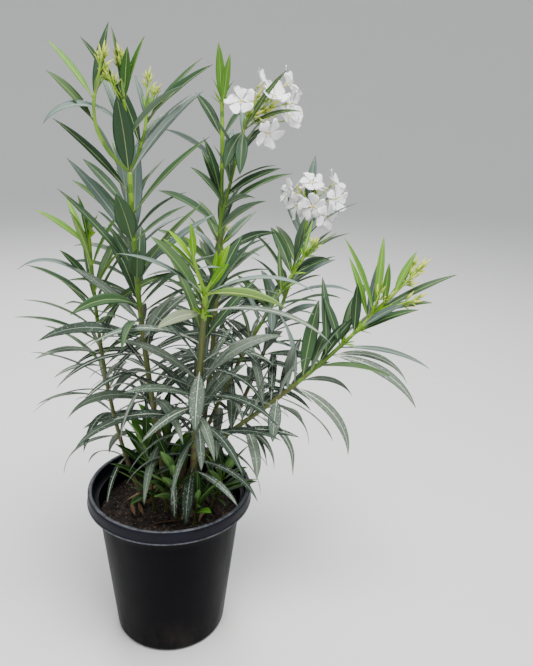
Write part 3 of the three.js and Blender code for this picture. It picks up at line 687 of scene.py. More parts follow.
class Finish:
    """A material, with short ways to give its main shader noise, mixed colours and relief."""

    def __init__(self, name, colour):
        self.material = bpy.data.materials.new(name)
        self.material.use_nodes = True
        self.tree = self.material.node_tree
        self.shader = self.tree.nodes["Principled BSDF"]
        self.material.diffuse_color = (*colour, 1)
        self.give(self.shader, {"Base Color": (*colour, 1)})

    def give(self, node, inputs):
        """Links or sets each named input of a node."""
        for name, value in inputs.items():
            if isinstance(value, bpy.types.NodeSocket):
                self.tree.links.new(value, node.inputs[name])
            else:
                node.inputs[name].default_value = value

    def add(self, kind, inputs, result, **settings):
        """Adds a node with its inputs, and returns its named result."""
        node = self.tree.nodes.new(f"ShaderNode{kind}")
        for name, value in settings.items():
            setattr(node, name, value)
        self.give(node, inputs)
        return node.outputs[result]

    def place(self):
        """The object's own place, in metres."""
        return self.add("TexCoord", {}, "Object")

    def noise(self, scale, detail=4, roughness=0.55, stretch=(1, 1, 1)):
        """Noise over the object's own place, at a scale per metre."""
        mapped = self.add("Mapping", {"Vector": self.place(), "Scale": stretch}, "Vector")
        inputs = {"Vector": mapped, "Scale": scale, "Detail": detail, "Roughness": roughness}
        return self.add("TexNoise", inputs, "Fac")

    def spread(self, value, low=0, high=1, start=0.3, stop=0.7):
        """A value spread from low to high as the input goes from start to stop."""
        inputs = {"Value": value, "From Min": start, "From Max": stop, "To Min": low, "To Max": high}
        return self.add("MapRange", inputs, "Result")

    def mix(self, share, low, high):
        """A colour between two colours or sockets, by a share."""
        low, high = ((*end, 1) if isinstance(end, tuple) else end for end in (low, high))
        return self.add("Mix", {"Factor": share, 6: low, 7: high}, 2, data_type="RGBA")

    def paint(self, share, low, high):
        """Colours the surface between two colours or sockets, by a share."""
        self.give(self.shader, {"Base Color": self.mix(share, low, high)})

    def roughen(self, value, low, high):
        """Spreads the roughness from low to high by a value."""
        self.give(self.shader, {"Roughness": self.spread(value, low, high)})

    def raise_by(self, height, strength, depth):
        """Gives relief from a height, its depth in millimetres."""
        inputs = {"Height": height, "Strength": strength, "Distance": depth * MM}
        self.give(self.shader, {"Normal": self.add("Bump", inputs, "Normal")})


def leaf_finish(name, colour, rough=0.5):
    """A leaf's skin: one plain green, with the gloss broken up and a fine leathery grain."""
    finish = Finish(name, colour)
    finish.roughen(finish.noise(60, 3), rough - 0.07, rough + 0.09)
    finish.raise_by(finish.noise(900, 3), 0.25, 0.3)
    finish.give(finish.shader, {"Specular IOR Level": 0.22})
    return finish.material


def stalk_finish(name, colour, other):
    """A green stem's skin: two close greens in soft patches, drawn out along the stem."""
    finish = Finish(name, colour)
    patches = finish.noise(70, 4, 0.6, (1, 1, 0.35))
    finish.paint(finish.spread(patches), colour, other)
    finish.roughen(patches, 0.44, 0.6)
    finish.raise_by(finish.noise(420, 5, 0.6, (1, 1, 0.3)), 0.35, 0.5)
    return finish.material


def petal_finish(name, colour):
    """A petal's skin: soft white with a faint satin grain."""
    finish = Finish(name, colour)
    finish.roughen(finish.noise(140, 3), 0.47, 0.63)
    finish.raise_by(finish.noise(500, 4, 0.6), 0.2, 0.3)
    finish.give(finish.shader, {"Sheen Weight": 0.15})
    return finish.material


def pot_finish(settings):
    """Black moulded plastic, a little blue where it shines, with dust low on the wall and fine specks."""
    black = tuple(settings.pot_colour)
    finish = Finish("pot_plastic", black)
    grey = finish.mix(finish.spread(finish.noise(9, 5, 0.6)), black, tuple(1.5 * share for share in black))
    height = finish.add("SeparateXYZ", {"Vector": finish.place()}, "Z")
    low = finish.spread(height, 0.34, 0.0, 0.0, 0.09)
    smear = finish.spread(finish.noise(26, 8, 0.7, (1, 1, 0.45)), 0, 1, 0.46, 0.7)
    dust = finish.add("Math", {0: low, 1: smear}, "Value", operation="MULTIPLY")
    dusted = finish.mix(dust, grey, screen(72, 62, 54))
    specks = finish.spread(finish.noise(330, 2, 0.5), 0, 0.4, 0.72, 0.78)
    finish.paint(specks, dusted, screen(84, 80, 76))
    finish.roughen(finish.noise(34, 6, 0.65, (1, 1, 0.16)), 0.32, 0.5)
    finish.raise_by(finish.noise(240, 6, 0.7), 0.22, 0.5)
    finish.give(finish.shader, {"Specular IOR Level": 0.04})
    return finish.material


def band_highlight_finish(settings):
    """The pot's band: the same plastic, painted a little bluer and paler than the wall as a highlight where
    it catches the light.
    """
    # The band's bluer, paler colour is a painted highlight
    blue = tuple(share * extra for share, extra in zip(settings.pot_colour, (1.9, 2.0, 2.4)))
    finish = Finish("pot_band", blue)
    cloud = finish.noise(22, 6, 0.65, (1, 1, 0.5))
    # Cloudy patches painted paler still, as a broken painted highlight
    finish.paint(finish.spread(cloud), blue, tuple(2.2 * share for share in blue))
    finish.roughen(cloud, 0.38, 0.56)
    finish.raise_by(finish.noise(240, 6, 0.7), 0.25, 0.5)
    finish.give(finish.shader, {"Specular IOR Level": 0.11})
    return finish.material


def edge_highlight_finish():
    """The rounded edges of the pot's band, painted pale grey-blue as a highlight, in patches of scuff noise
    that also roughen and dent them.
    """
    finish = Finish("pot_edge_highlight", screen(58, 61, 68))
    scuffs_and_sheen = finish.noise(60, 8, 0.72)
    # The pale greys are a painted highlight on the band's edges, broken up by the scuff noise
    finish.paint(finish.spread(scuffs_and_sheen, 0, 1, 0.4, 0.62), screen(34, 36, 42), screen(88, 91, 98))
    finish.roughen(scuffs_and_sheen, 0.5, 0.7)
    finish.raise_by(scuffs_and_sheen, 0.4, 0.5)
    return finish.material


def mix_finish(settings):
    """Damp bark mix: dark browns in crumbs, with paler grains between them."""
    dark = tuple(settings.mix_colour)
    finish = Finish("bark_mix", dark)
    crumbs = finish.noise(150, 8, 0.7)
    brown = finish.mix(finish.spread(crumbs, 0, 1, 0.38, 0.62), dark, screen(54, 41, 34))
    grains = finish.spread(finish.noise(520, 3, 0.5), 0, 1, 0.64, 0.72)
    finish.paint(grains, brown, screen(96, 84, 74))
    finish.give(finish.shader, {"Roughness": 0.93})
    finish.raise_by(crumbs, 0.9, 4)
    return finish.material


def chip_finish(name, colour):
    """A chip of bark or grit, a fleck of dust or a dead leaf: rough and plain."""
    finish = Finish(name, colour)
    grain = finish.noise(300, 5, 0.6)
    finish.roughen(grain, 0.78, 0.98)
    finish.raise_by(grain, 0.5, 0.8)
    return finish.material


def bark_finish(name, colour, other):
    """The bark at the foot of a cane: two browns, streaked upwards, with a fine cracked relief."""
    finish = Finish(name, colour)
    streaks = finish.noise(110, 7, 0.68, (1, 1, 0.3))
    finish.paint(finish.spread(streaks, 0, 1, 0.36, 0.64), colour, other)
    finish.roughen(streaks, 0.72, 0.95)
    finish.raise_by(finish.noise(380, 7, 0.7, (1, 1, 0.4)), 0.7, 1.2)
    return finish.material


def floor_finish():
    """The studio floor: pale and matt."""
    finish = Finish("studio_floor", (0.8, 0.795, 0.785))
    finish.roughen(finish.noise(1.2, 3), 0.82, 0.92)
    return finish.material


def shaded(make, name, shades):
    """One finish for each shade, numbered from 1."""
    return [make(f"{name}_{index + 1}", screen(*shade)) for index, shade in enumerate(shades)]


# Leaves


class Leaf:
    """One leaf: where its root lies, how it stands and bends, how large it is, its kind and its own seed."""

    def __init__(self, root, out, length, width, bend, roll, twist, kind, seed):
        self.root = root
        self.out = out
        self.heading = math.atan2(out[1], out[0])
        self.slope = math.asin(max(-1, min(1, out[2])))
        self.length = length
        self.width = width
        self.bend = bend
        self.roll = roll
        self.twist = twist
        self.kind = kind
        self.seed = seed

    def spine(self, steps):
        """Shares, centres, sideways and upward directions along the middle, which bends down to its tip."""
        share = np.linspace(0, 1, steps + 1)
        slope = np.maximum(self.slope - math.radians(self.bend) * share**1.3, math.radians(-86))
        level = np.array([math.cos(self.heading), math.sin(self.heading), 0])
        flat = np.array([-math.sin(self.heading), math.cos(self.heading), 0])
        ahead = np.outer(np.cos(slope), level) + np.outer(np.sin(slope), UP)
        upper = np.cross(ahead, flat)
        roll = self.roll + self.twist * share
        side = np.cos(roll)[:, None] * flat + np.sin(roll)[:, None] * upper
        steps_ahead = ahead[:-1] * self.length / steps
        centre = self.root + np.concatenate([np.zeros((1, 3)), np.cumsum(steps_ahead, axis=0)])
        return share, centre, side, np.cross(ahead, side)


def half_width(leaf, share):
    """Half a leaf's width at a share of its length: a short stalk, a lance-shaped blade and a sharp tip."""
    blade = np.clip((share - STALK_SHARE) / (1 - STALK_SHARE), 0, 1)
    outline = blade**0.8 * (1 - blade) ** 0.95 / 0.2985
    stalk = 1.7 * np.clip(1 - share * 4, 0, 1)
    return np.maximum(np.maximum(leaf.width / 2 * outline, stalk), 0.12)


def blade_height(leaf, share, across):
    """How high the middle of the blade lies over the leaf's spine, at a place from -1 to 1 across it."""
    fold, curl = FOLDS[leaf.kind]
    half = half_width(leaf, share)
    wave = 0.035 * half * np.sin(share * 17 + leaf.seed % 7 + across * 1.5)
    return half * (fold * np.abs(across) - curl * across**2) + wave * across**2


def blade_thickness(leaf, share, across):
    """Half a leaf's thickness, which thins out to its edges and its tip."""
    return (0.14 + (0.38 - 0.2 * share) * (1 - across**2)) * (0.7 + leaf.length / 420)


def surface_point(leaf, share, spine, across, lift=0.0):
    """Points on a leaf's upper side at shares along it and places across it, raised by a lift."""
    shares, *directions = spine
    here, sideways, upwards = (
        np.array([np.interp(share, shares, row[:, axis]) for axis in range(3)]).T for row in directions
    )
    height = blade_height(leaf, share, across) + blade_thickness(leaf, share, across) + lift
    return here + sideways * (half_width(leaf, share) * across)[:, None] + upwards * height[:, None]


def leaf_rings(leaf, steps, cells):
    """Rings of points round a leaf, from one edge over the upper side and back along the lower side."""
    share, centre, side, upper = leaf.spine(steps)
    over = np.linspace(1, -1, cells + 1)
    under = over[::-1][1:-1]
    rings = []
    for across, sign in [(value, 1) for value in over] + [(value, -1) for value in under]:
        height = blade_height(leaf, share, across)
        if abs(across) < 1:
            height = height + sign * blade_thickness(leaf, share, across)
        rings.append(centre + side * (half_width(leaf, share) * across)[:, None] + upper * height[:, None])
    return np.array(rings).transpose(1, 0, 2)


def rib_rings(leaf, steps):
    """Rings of points round a leaf's midrib: a low pale line above and a keel below."""
    share, centre, side, upper = leaf.spine(steps)
    size = leaf.length / 150
    broad = lerp(1.35, 0.3, share) * size ** 0.5
    top = blade_thickness(leaf, share, 0.0) + 0.22
    keel = blade_thickness(leaf, share, 0.0) + lerp(0.75, 0.1, share) * size
    outline = ((1, 0, 0), (0.62, 1, 0), (-0.62, 1, 0), (-1, 0, 0), (-0.5, 0, 1), (0.5, 0, 1))
    rings = [
        centre + side * (broad * aside)[:, None] + upper * (top * up - keel * down)[:, None]
        for aside, up, down in outline
    ]
    return np.array(rings).transpose(1, 0, 2)[:-1]


def stands(key, age):
    """A value between those at the foot, half way and at the tip of a cane."""
    foot, middle, tip = STANDS[key]
    return lerp(foot, middle, age * 2) if age < 0.5 else lerp(middle, tip, age * 2 - 1)


def chosen_leaf(index, name, share, reach, width, bend, front, kind):
    """A chosen leaf, whose tip lies at its reach from its root, however it bends."""
    cane = CLUMP[name]
    east, north, rise = reach
    level = math.hypot(east, north)
    aside = np.array([east / level, north / level, 0])
    root = cane.at(min(share, 1)) + cane.axis(1) * cane.length * max(0, share - 1)
    root = root + aside * 0.4 * lerp(cane.wide, cane.thin, min(share, 1))
    fall = math.radians(bend) * np.linspace(0, 1, 60) ** 1.3
    ahead, down = np.cos(fall).mean(), np.sin(fall).mean()
    slope = min(math.atan2(rise, level) + math.atan2(down, ahead), 1.5)
    out = aside * math.cos(slope) + UP * math.sin(slope)
    length = math.hypot(level, rise) / math.hypot(ahead, down)
    leaf = Leaf(root, out, length, width, bend, 0, 0, kind, CHOSEN_SEED + index)
    _, _, side, upper = leaf.spine(2)
    facing = TO_FRONT if front > 0 else -TO_FRONT
    leaf.roll = abs(front) * math.atan2(-side[1].dot(facing), upper[1].dot(facing))
    leaf.cane, leaf.distance = name, min(share, 1) * cane.length
    return leaf


def is_chosen_nearby(cane, distance, leaf, chosen):
    """Whether a chosen leaf already starts near a leaf and heads the same way."""
    for other in chosen:
        if other.cane == cane.name and abs(other.distance - distance) < CHOSEN_NEAR:
            if other.out.dot(leaf.out) > math.cos(math.radians(CHOSEN_ALIKE)):
                return True
    return False


def leaf_kind(cane, age, chance):
    """The kind of leaf at an age from 0, at the foot of a cane, to 1, at its tip."""
    if cane.name.startswith("basal_"):
        return "basal"
    if cane.name.startswith("front_"):
        return "young"
    age += between(AGES_DIFFER, chance)
    if age < OLD_UNTIL.get(cane.name, OLD_ELSE):
        return "old"
    if age > FRESH_FROM.get(cane.name, 2):
        return "fresh"
    # Painted reflection: these leaves get pale tints that stand for the sky's sheen on them
    return "silver" if PAINTED_SHEEN_CHANCES[0] < chance < PAINTED_SHEEN_CHANCES[1] else "mature"


def try_leaf(cane, share, compass, seed, attempt, fullness):
    """One try at a leaf. Later tries turn it round the stem and lift it out of its neighbours' way."""
    random = stream(seed)
    detail = stream(seed + 7000)
    age = lerp(cane.oldest, 1, share)
    kind = leaf_kind(cane, age, stream(seed + 9000)())
    more_open, wider, more_bent = KINDS[kind]["stance"]
    turned = NEXT_TRY["turn"] + NEXT_TRY["further"] * attempt if attempt else 0
    lift = 1 - NEXT_TRY["lift"] * min(attempt, 6)
    opened = (stands("open", age) + either(DIFFERS["open"], random())) * lift * more_open
    longest = cane.spec["leaf"] * stands("length", age)
    length = longest * between(DIFFERS["length"], random()) * (1 - NEXT_TRY["shorter"] * attempt)
    compass += either(DIFFERS["compass"], random()) + (turned if attempt % 2 else -turned)
    width = length * stands("slim", age) * between(DIFFERS["width"], random())
    width *= fullness * lerp(SLIMMEST, BROADEST, detail()) * wider * cane.spec.get("slender", 1)
    bend = stands("bend", age) * between(DIFFERS["bend"], random()) * lift * more_bent
    roll = math.radians(either(DIFFERS["roll"], random()))
    twist = math.radians(either(DIFFERS["twist"], random()))
    out = leaning(cane.axis(share), opened, compass)
    return Leaf(cane.at(share), out, length, width, bend, roll, twist, kind, seed)


def coarse_blade(leaf, start, steps=8):
    """A leaf's blade from a share of its length on, as a few flat faces for clearance."""
    share, centre, side, upper = leaf.spine(steps)
    first = round(start * steps)
    sideways = side * half_width(leaf, share)[:, None]
    edge = centre + upper * blade_height(leaf, share, 1.0)[:, None]
    corners = np.concatenate([row[first:] for row in (edge - sideways, centre, edge + sideways)])
    count = steps + 1 - first
    faces = []
    for row in (0, count):
        faces.extend((row + k, row + k + 1, row + count + k + 1, row + count + k) for k in range(count - 1))
    return obstacle(corners, faces)


def shell(rings):
    """A closed skin of rings for clearance."""
    skin = Skin()
    skin.loft(rings)
    return obstacle(np.concatenate(skin.corners), skin.faces)


def obstacle(corners, faces):
    """Faces as a tree that finds what they touch, with their lowest and highest corner."""
    tree = BVHTree.FromPolygons([Vector(corner) for corner in corners], faces)
    return tree, corners.min(0), corners.max(0)


class Room:
    """What already stands in the crown, so that a new leaf can be tried against it."""

    def __init__(self):
        self.standing = []

    def takes(self, shape):
        """Adds a shape if it touches nothing that stands, and says whether it did."""
        tree, low, high = shape
        for other, other_low, other_high in self.standing:
            is_near = np.all(low <= other_high) and np.all(high >= other_low)
            if is_near and tree.overlap(other):
                return False
        self.standing.append(shape)
        return True


def cane_shell(cane):
    """A cane as a closed skin for clearance."""
    rings = []
    for share in np.linspace(0, 1, 12):
        radius = lerp(cane.wide, cane.thin, share) / 2
        rings.append(ring(cane.at(share), radius, *square_to(cane.axis(share)), 6))
    return shell(rings)


def pot_shell():
    """The pot's wall and the mix in it, as closed skins for clearance."""
    foot = POT_HEIGHT - BAND_HEIGHT
    wall = [
        (FOOT_RADIUS, 0), (WALL_TOP_RADIUS, foot), (BAND_RADIUS + 1, foot), (BAND_RADIUS, POT_HEIGHT + 1),
        (LIP_RADIUS, POT_HEIGHT + 1), (LIP_RADIUS - 13, SOIL_TOP + 3),
    ]
    return shell([level_ring(radius, height, 48) for radius, height in wall])


def seen_from_front(direction):
    """A direction as the front view shows it, flat in the picture."""
    return unit(direction - direction.dot(TO_FRONT) * TO_FRONT)


def hides_stem(cane, share, leaf):
    """Whether a leaf heads over a stretch of stem that shows bare from the front, or lies along it there."""
    start, forward = BARE_IN_FRONT.get(cane.name, (2, 0))
    if share < start:
        return False
    is_along = seen_from_front(leaf.out).dot(seen_from_front(cane.axis(share))) > LIES_ALONG
    return -leaf.out[1] > forward or (is_along and -leaf.out[1] > STANDS_BACK)


def grow_whorl(cane, room, distance, turn, seed, fullness, chosen):
    """The leaves of one whorl that find room."""
    share = distance / cane.length
    leaves = []
    for index in range(LEAVES_IN_WHORL):
        for attempt in range(LEAF_TRIES):
            leaf = try_leaf(cane, share, turn + index * 120, seed + index, attempt, fullness)
            if hides_stem(cane, share, leaf):
                continue
            if is_chosen_nearby(cane, distance, leaf, chosen):
                break
            if room.takes(coarse_blade(leaf, CLEAR_FROM)):
                leaves.append(leaf)
                break
    return leaves


def grow_whorls(cane, room, fullness, chosen, is_between):
    """The leaves of a cane from its tip down: in its whorls, or half way between them where it is filled."""
    if is_between:
        highest, lowest = cane.fill * cane.length, max(cane.bare, BETWEEN_FROM) * cane.length
        below, turned, first = cane.step / 2, 30, 500
    else:
        highest, lowest = cane.length, cane.bare * cane.length + WHORL_MARGIN
        below, turned, first = 0, 0, 1
    leaves = []
    for whorl, distance in enumerate(cane.whorls()):
        distance -= below
        if lowest <= distance <= highest:
            seed = cane.seed * 1000 + whorl * LEAVES_IN_WHORL + first
            turn = cane.spec["turn"] + whorl * 60 + turned
            leaves.extend(grow_whorl(cane, room, distance, turn, seed, fullness, chosen))
    return leaves


def grow_tuft(root, axis, seed, longest, count, kind, room):
    """A tuft of small young leaves that stand up round an axis."""
    random = stream(seed)
    leaves = []
    for index in range(count):
        share = index / count
        opened = between(TUFT["open"], share) + either(3, random())
        out = leaning(axis, opened, index * GOLDEN_ANGLE + 30 * random())
        length = longest * between(TUFT["length"], share) * between(TUFT["longer"], random())
        bend = between(TUFT["bend"], random())
        roll = either(0.5, random())
        twist = either(0.3, random())
        width = length * TUFT["slim"]
        leaf = Leaf(root - axis * 2, out, length, width, bend, roll, twist, kind, seed + index)
        if room.takes(coarse_blade(leaf, TUFT["clear_from"])):
            leaves.append(leaf)
    return leaves


def grow_axils(cane, room):
    """Small shoots in the axils of a cane's highest whorls."""
    leaves = []
    for whorl, distance in enumerate(cane.whorls()[: cane.axils]):
        share = distance / cane.length
        axis = cane.axis(share)
        for index in range(LEAVES_IN_WHORL):
            away = leaning(axis, AXIL["lean"], cane.spec["turn"] + whorl * 60 + index * 120)
            root = cane.at(share) + away * cane.thin * 0.4 + axis * 3
            seed = cane.seed * 700 + whorl * 10 + index * 3
            leaves.extend(grow_tuft(root, away, seed, AXIL["longest"], AXIL["count"], "young", room))
    return leaves


def tip_kind(name):
    """The kind of the small leaves at the tip of a cane."""
    if name.startswith("basal"):
        return "basal"
    return "young" if name.startswith(("front", "leaning", "right")) else "fresh"


def grow_leaves(settings):
    """Every leaf of the plant."""
    room = Room()
    room.standing = [pot_shell(), *(cane_shell(cane) for cane in CLUMP.values())]
    rows = [(name, *row) for name, rows_of_cane in CHOSEN_LEAVES for row in rows_of_cane]
    chosen = [chosen_leaf(index, *row) for index, row in enumerate(rows)]
    room.standing += [coarse_blade(leaf, CLEAR_FROM) for leaf in chosen]
    leaves = list(chosen)
    for is_between in (False, True):
        for cane in CLUMP.values():
            leaves.extend(grow_whorls(cane, room, settings.leaf_fullness, chosen, is_between))
    budded = {name for name, _, _, _ in BUD_CLUSTERS} | {name for _, name, _, _, _ in BLOSSOM_TRUSSES}
    for cane in CLUMP.values():
        if cane.name not in ("tall_left", "front"):
            count = TIP["under_buds"] if cane.name in budded else TIP["count"]
            longest = TIP["longest"] * cane.spec["leaf"]
            kind = tip_kind(cane.name)
            leaves.extend(grow_tuft(cane.at(1), cane.axis(1), cane.seed * 90, longest, count, kind, room))
        leaves.extend(grow_axils(cane, room))
    return leaves


def leaf_finishes(kind):
    """The materials of a kind of leaf: its upper sides' tints, then its duller underside."""
    spec = KINDS[kind]
    finishes = [
        leaf_finish(f"leaf_{kind}_{index + 1}", screen(*tint), spec["gloss"])
        for index, tint in enumerate(spec["tints"])
    ]
    return finishes + [leaf_finish(f"leaf_{kind}_under", screen(*spec["under"]), spec["gloss"] + 0.14)]


def leaf_piece(kind, leaves, steps, cells):
    """All leaves of a kind as one piece, each with one tint above and the pale underside below."""
    skin = Skin()
    under = len(KINDS[kind]["tints"])
    for leaf in leaves:
        tint = int(stream(leaf.seed * 7 + 3)() * under)
        skin.loft(leaf_rings(leaf, steps, cells), [tint] * cells + [under] * cells)
    return make_piece(f"leaves_{kind}", skin, leaf_finishes(kind))


def rib_piece(leaves, steps):
    """The pale midribs of all leaves as one piece."""
    skin = Skin()
    tints = {kind: spec["rib"] for kind, spec in KINDS.items()} | {"dull": DULL_RIB}
    kinds = list(tints)
    for leaf in leaves:
        is_dull = leaf.kind == "old" and stream(leaf.seed * 5 + 1)() < DULL_MIDRIBS
        skin.loft(rib_rings(leaf, steps), kinds.index("dull" if is_dull else leaf.kind))
    finishes = [leaf_finish(f"midrib_{kind}", screen(*tint)) for kind, tint in tints.items()]
    return make_piece("midribs", skin, finishes)


def fleck_piece(leaves, count):
    """Pale flecks of dried dust on the upper sides of the oldest leaves."""
    skin = Skin()
    rng = np.random.default_rng(11)
    for leaf in leaves:
        spine = leaf.spine(16)
        amount = int(count * leaf.length / 130)
        share = rng.uniform(0.1, 0.94, amount)
        across = rng.uniform(-0.86, 0.86, amount)
        long = rng.uniform(0.7, 1.9, amount) / leaf.length
        wide = rng.uniform(0.3, 0.7, amount) / np.maximum(half_width(leaf, share), 1)
        slant = np.sign(across) * 0.6 * wide
        steps = ((long, slant), (0, -wide), (-long, -slant), (0, wide))
        corners = [surface_point(leaf, share + ahead, spine, across + aside, 0.12) for ahead, aside in steps]
        corners = np.array(corners).transpose(1, 0, 2)
        faces = [(k, k + 3, k + 2, k + 1) for k in range(0, 4 * amount, 4)]
        brightest = 2 if leaf.kind == "dusty" else 1
        skin.add(corners, faces, (brightest - (rng.random(amount) < 0.6)).tolist())
    shades = ((128, 140, 128), (160, 170, 158), (206, 212, 200))
    return make_piece("dust_flecks", skin, shaded(chip_finish, "dust", shades))


# Canes

# How far a node swells and how far along the cane, and the scales of the bark's upright ridges and its pits
NODE_SWELL = 0.13
NODE_REACH = 3.2
BARK_RIDGES = np.array([0.55, 0.55, 0.12])
BARK_PITS = 0.9


def bark_height(cane, distance, place, roughness):
    """A cane's radius at a distance along it, with its taper, its flared foot, its nodes and its bark."""
    share = distance / cane.length
    radius = lerp(cane.wide, cane.thin, share) / 2
    if not cane.on:
        radius *= 1 + FLARE * max(0, 1 - distance / FLARE_HEIGHT) ** 2
    for whorl in cane.whorls():
        radius *= 1 + NODE_SWELL * math.exp(-(((distance - whorl + 1.5) / NODE_REACH) ** 2))
    ridges = noise.noise(Vector(place * BARK_RIDGES)) * 0.09
    pits = noise.noise(Vector(place * BARK_PITS)) * 0.05
    return radius * (1 + roughness * (ridges + pits))


# The slots of a cane's skin, and a leaf scar's size in millimetres along the cane and degrees round it
BROWN, GREY, OLIVE, GREEN, BRIGHT, SCAR = range(6)
SCAR_HEIGHT = 5.2
SCAR_WIDTH = 52

# The ages up to which a cane's skin is bark, bark in patches, olive and green, from 0 at its foot to 1 at
# its tip
BARK_UNTIL, PATCHES_UNTIL, GREEN_UNTIL = 0.17, 0.3, 0.9
OLIVE_UNTIL = {"front": 0.92}
OLIVE_ELSE = 0.66


def is_scar(cane, distance, compass):
    """Whether a leaf has left its scar at a place on a cane's bare foot."""
    if distance >= cane.bare * cane.length + 12:
        return False
    for whorl, height in enumerate(cane.whorls()):
        turned = (compass - cane.spec["turn"] - whorl * 60) % 120
        if abs(distance - height + 1) < SCAR_HEIGHT / 2 and min(turned, 120 - turned) < SCAR_WIDTH / 2:
            return True
    return False


def stem_slot(cane, distance, compass, place):
    """A cane's slot at a place: brown at its foot, then olive and green, with scars at its bare nodes."""
    patch = noise.noise(Vector(place * 0.07)) * 0.16
    age = lerp(cane.oldest, 1, distance / cane.length) + patch
    if cane.name.startswith("basal_"):
        return GREEN if age > 0.7 else OLIVE
    if cane.name.startswith("front_"):
        return BRIGHT if age > 0.6 else GREEN
    if is_scar(cane, distance, compass):
        return SCAR
    if age < BARK_UNTIL:
        return GREY if noise.noise(Vector(place * 0.045 + 9)) > 0.08 else BROWN
    if age < PATCHES_UNTIL:
        return BROWN if patch < 0 else OLIVE
    if age < OLIVE_UNTIL.get(cane.name, OLIVE_ELSE):
        return OLIVE
    return GREEN if age < GREEN_UNTIL else BRIGHT


def cane_skin(skin, cane, sides):
    """Adds a cane with its nodes and bark, from its foot, sunk in the mix, to its tip."""
    start = 0.0 if cane.on else -CANE_SINK
    rings = []
    slots = []
    for distance in np.linspace(start, cane.length, int((cane.length - start) / CANE_STEP) + 2):
        share = max(distance, 0) / cane.length
        across, aside = square_to(cane.axis(share))
        centre = cane.at(share) + UP * min(distance, 0)
        roughness = 1 - float(smooth(lerp(cane.oldest, 1, share) / 0.4))
        points = []
        kinds = []
        for side, angle in enumerate(around(sides)):
            out = across * math.cos(angle) + aside * math.sin(angle)
            points.append(centre + out * bark_height(cane, max(distance, 0), centre + out * 9, roughness))
            kinds.append(stem_slot(cane, distance, 360 * (side + 0.5) / sides, centre + across * side * 1.7))
        rings.append(points)
        slots.append(kinds)
    skin.loft(rings, slots)


# Buds and blossom


def stalk_skin(skin, start, end, start_radius, end_radius, slot, sides=6):
    """Adds a slim stalk between two places."""
    axis = unit(end - start)
    reach = np.linalg.norm(end - start)
    profile = [(reach * share, lerp(start_radius, end_radius, share)) for share in (0, 0.5, 1)]
    skin.loft(spindle(start, axis, profile, sides), slot)


def bud_skin(skin, start, axis, stalk, size, sides=8):
    """Adds a closed bud: its stalk, a cup of green sepals and a slim body that twists to its tip."""
    foot = start + axis * stalk
    stalk_skin(skin, start, foot, 0.75, 0.95, 0, 5)
    cup = [(-0.4, 0.8), (1.2 * size, 1.7 * size), (3.6 * size, 2.0 * size), (5.0 * size, 1.6 * size)]
    skin.loft(spindle(foot, axis, cup, sides), 1)
    across, aside = square_to(axis)
    lobes = 1 + 0.1 * np.cos(5 * around(sides))
    rings = []
    for share in np.linspace(0.06, 1, 9):
        swell = math.sin(math.pi * min(share * 0.8 + 0.12, 1)) ** 0.8
        radius = BUD_RADIUS * size * (0.25 + 0.75 * swell) * (1 - share**3 * 0.86)
        centre = foot + axis * BUD_LENGTH * size * share
        rings.append(ring(centre, radius * lobes, across, aside, sides, share * 1.4))
    skin.loft(rings, 2 if size > 0.75 else 3)


def cluster_start(cane, reach):
    """Where the stalk of a cluster starts, its direction and its end."""
    axis = cane.axis(1)
    start = cane.at(1) - axis * 1.5
    return axis, start, start + axis * (reach + 1.8)


def cluster_skin(skin, start, end, radius, buds, size, seed):
    """Adds a cluster of closed buds on its stalk: each main bud has two small ones beside it."""
    random = stream(seed)
    detail = stream(seed + 400)
    axis = unit(end - start)
    stalk_skin(skin, start, end, radius, 0.6 * radius, 0)
    for index in range(buds):
        share = index / (buds - 1)
        root = start + (end - start) * between(CLUSTER["place"], share)
        away = leaning(axis, between(CLUSTER["spread"], share), index * GOLDEN_ANGLE)
        stalk = between(CLUSTER["stalk"], share) * between(CLUSTER["longer"], random())
        bud_skin(skin, root, away, stalk, between(CLUSTER["size"], random()) * 0.92 * size)
        for twin in range(2):
            beside = leaning(away, lerp(18, 34, detail()), 180 * twin + index * 47)
            small = lerp(0.4, 0.62, detail()) * size
            bud_skin(skin, root + away * stalk * 0.55, beside, stalk * 0.6, small, 6)


def side_cluster_skin(skin, spec, seed):
    """Adds a small cluster that branches from a cane, beside the main one."""
    name, share, reach, buds, size = spec
    start = CLUMP[name].at(share)
    cluster_skin(skin, start, start + np.array(reach, float), 1.7, buds, size, seed)


def petal_skin(skin, throat, face, compass, cup, random):
    """Adds one petal: slim at the throat, broad and blunt at its end, turned like a sail and cupped."""
    across, aside = square_to(face)
    out = across * math.cos(compass) + aside * math.sin(compass)
    side = np.cross(face, out)
    lift = cup * 7 + either(3.5, random())
    curl = lerp(-2.2, 3.2, random())
    ruffle = lerp(0.6, 1.8, random())
    phase = 6 * random()
    width = PETAL_WIDTH * lerp(0.88, 1.1, random())
    length = PETAL_LENGTH * lerp(0.94, 1.12, random())
    twist = math.radians(lerp(4, 28, random()))
    over = np.linspace(1, -1, 7)
    rows = []
    for share in np.linspace(0, 1, 10):
        grown = float(smooth(share / PETAL_SHOULDER)) ** 0.8
        rounded = math.sqrt(max(0, 1 - max(0, (share - PETAL_SHOULDER) / 0.285) ** 2.4))
        half = (0.8 + (width / 2 - 0.8) * grown) * max(rounded, 0.06)
        middle = throat + out * lerp(1.6, length + 1, share) + side * 2.6 * share**2
        turned = side * math.cos(twist * share) + face * math.sin(twist * share)
        rise = lerp(-1.4, 0.4, share) + math.sin(math.pi * share) * 1.6 + lift * share**2
        row = []
        for value in over:
            skewed = out * (1.6 * share * value)
            bowl = curl * value**2 * share + ruffle * value**2 * math.sin(share * 9 + phase + value)
            row.append(middle + turned * half * value + skewed + face * (rise + bowl))
        rows.append(row)
    rows = np.array(rows)
    under = rows[:, ::-1][:, 1:-1] - face * PETAL_THICKNESS
    skin.loft(np.concatenate([rows, under], axis=1))


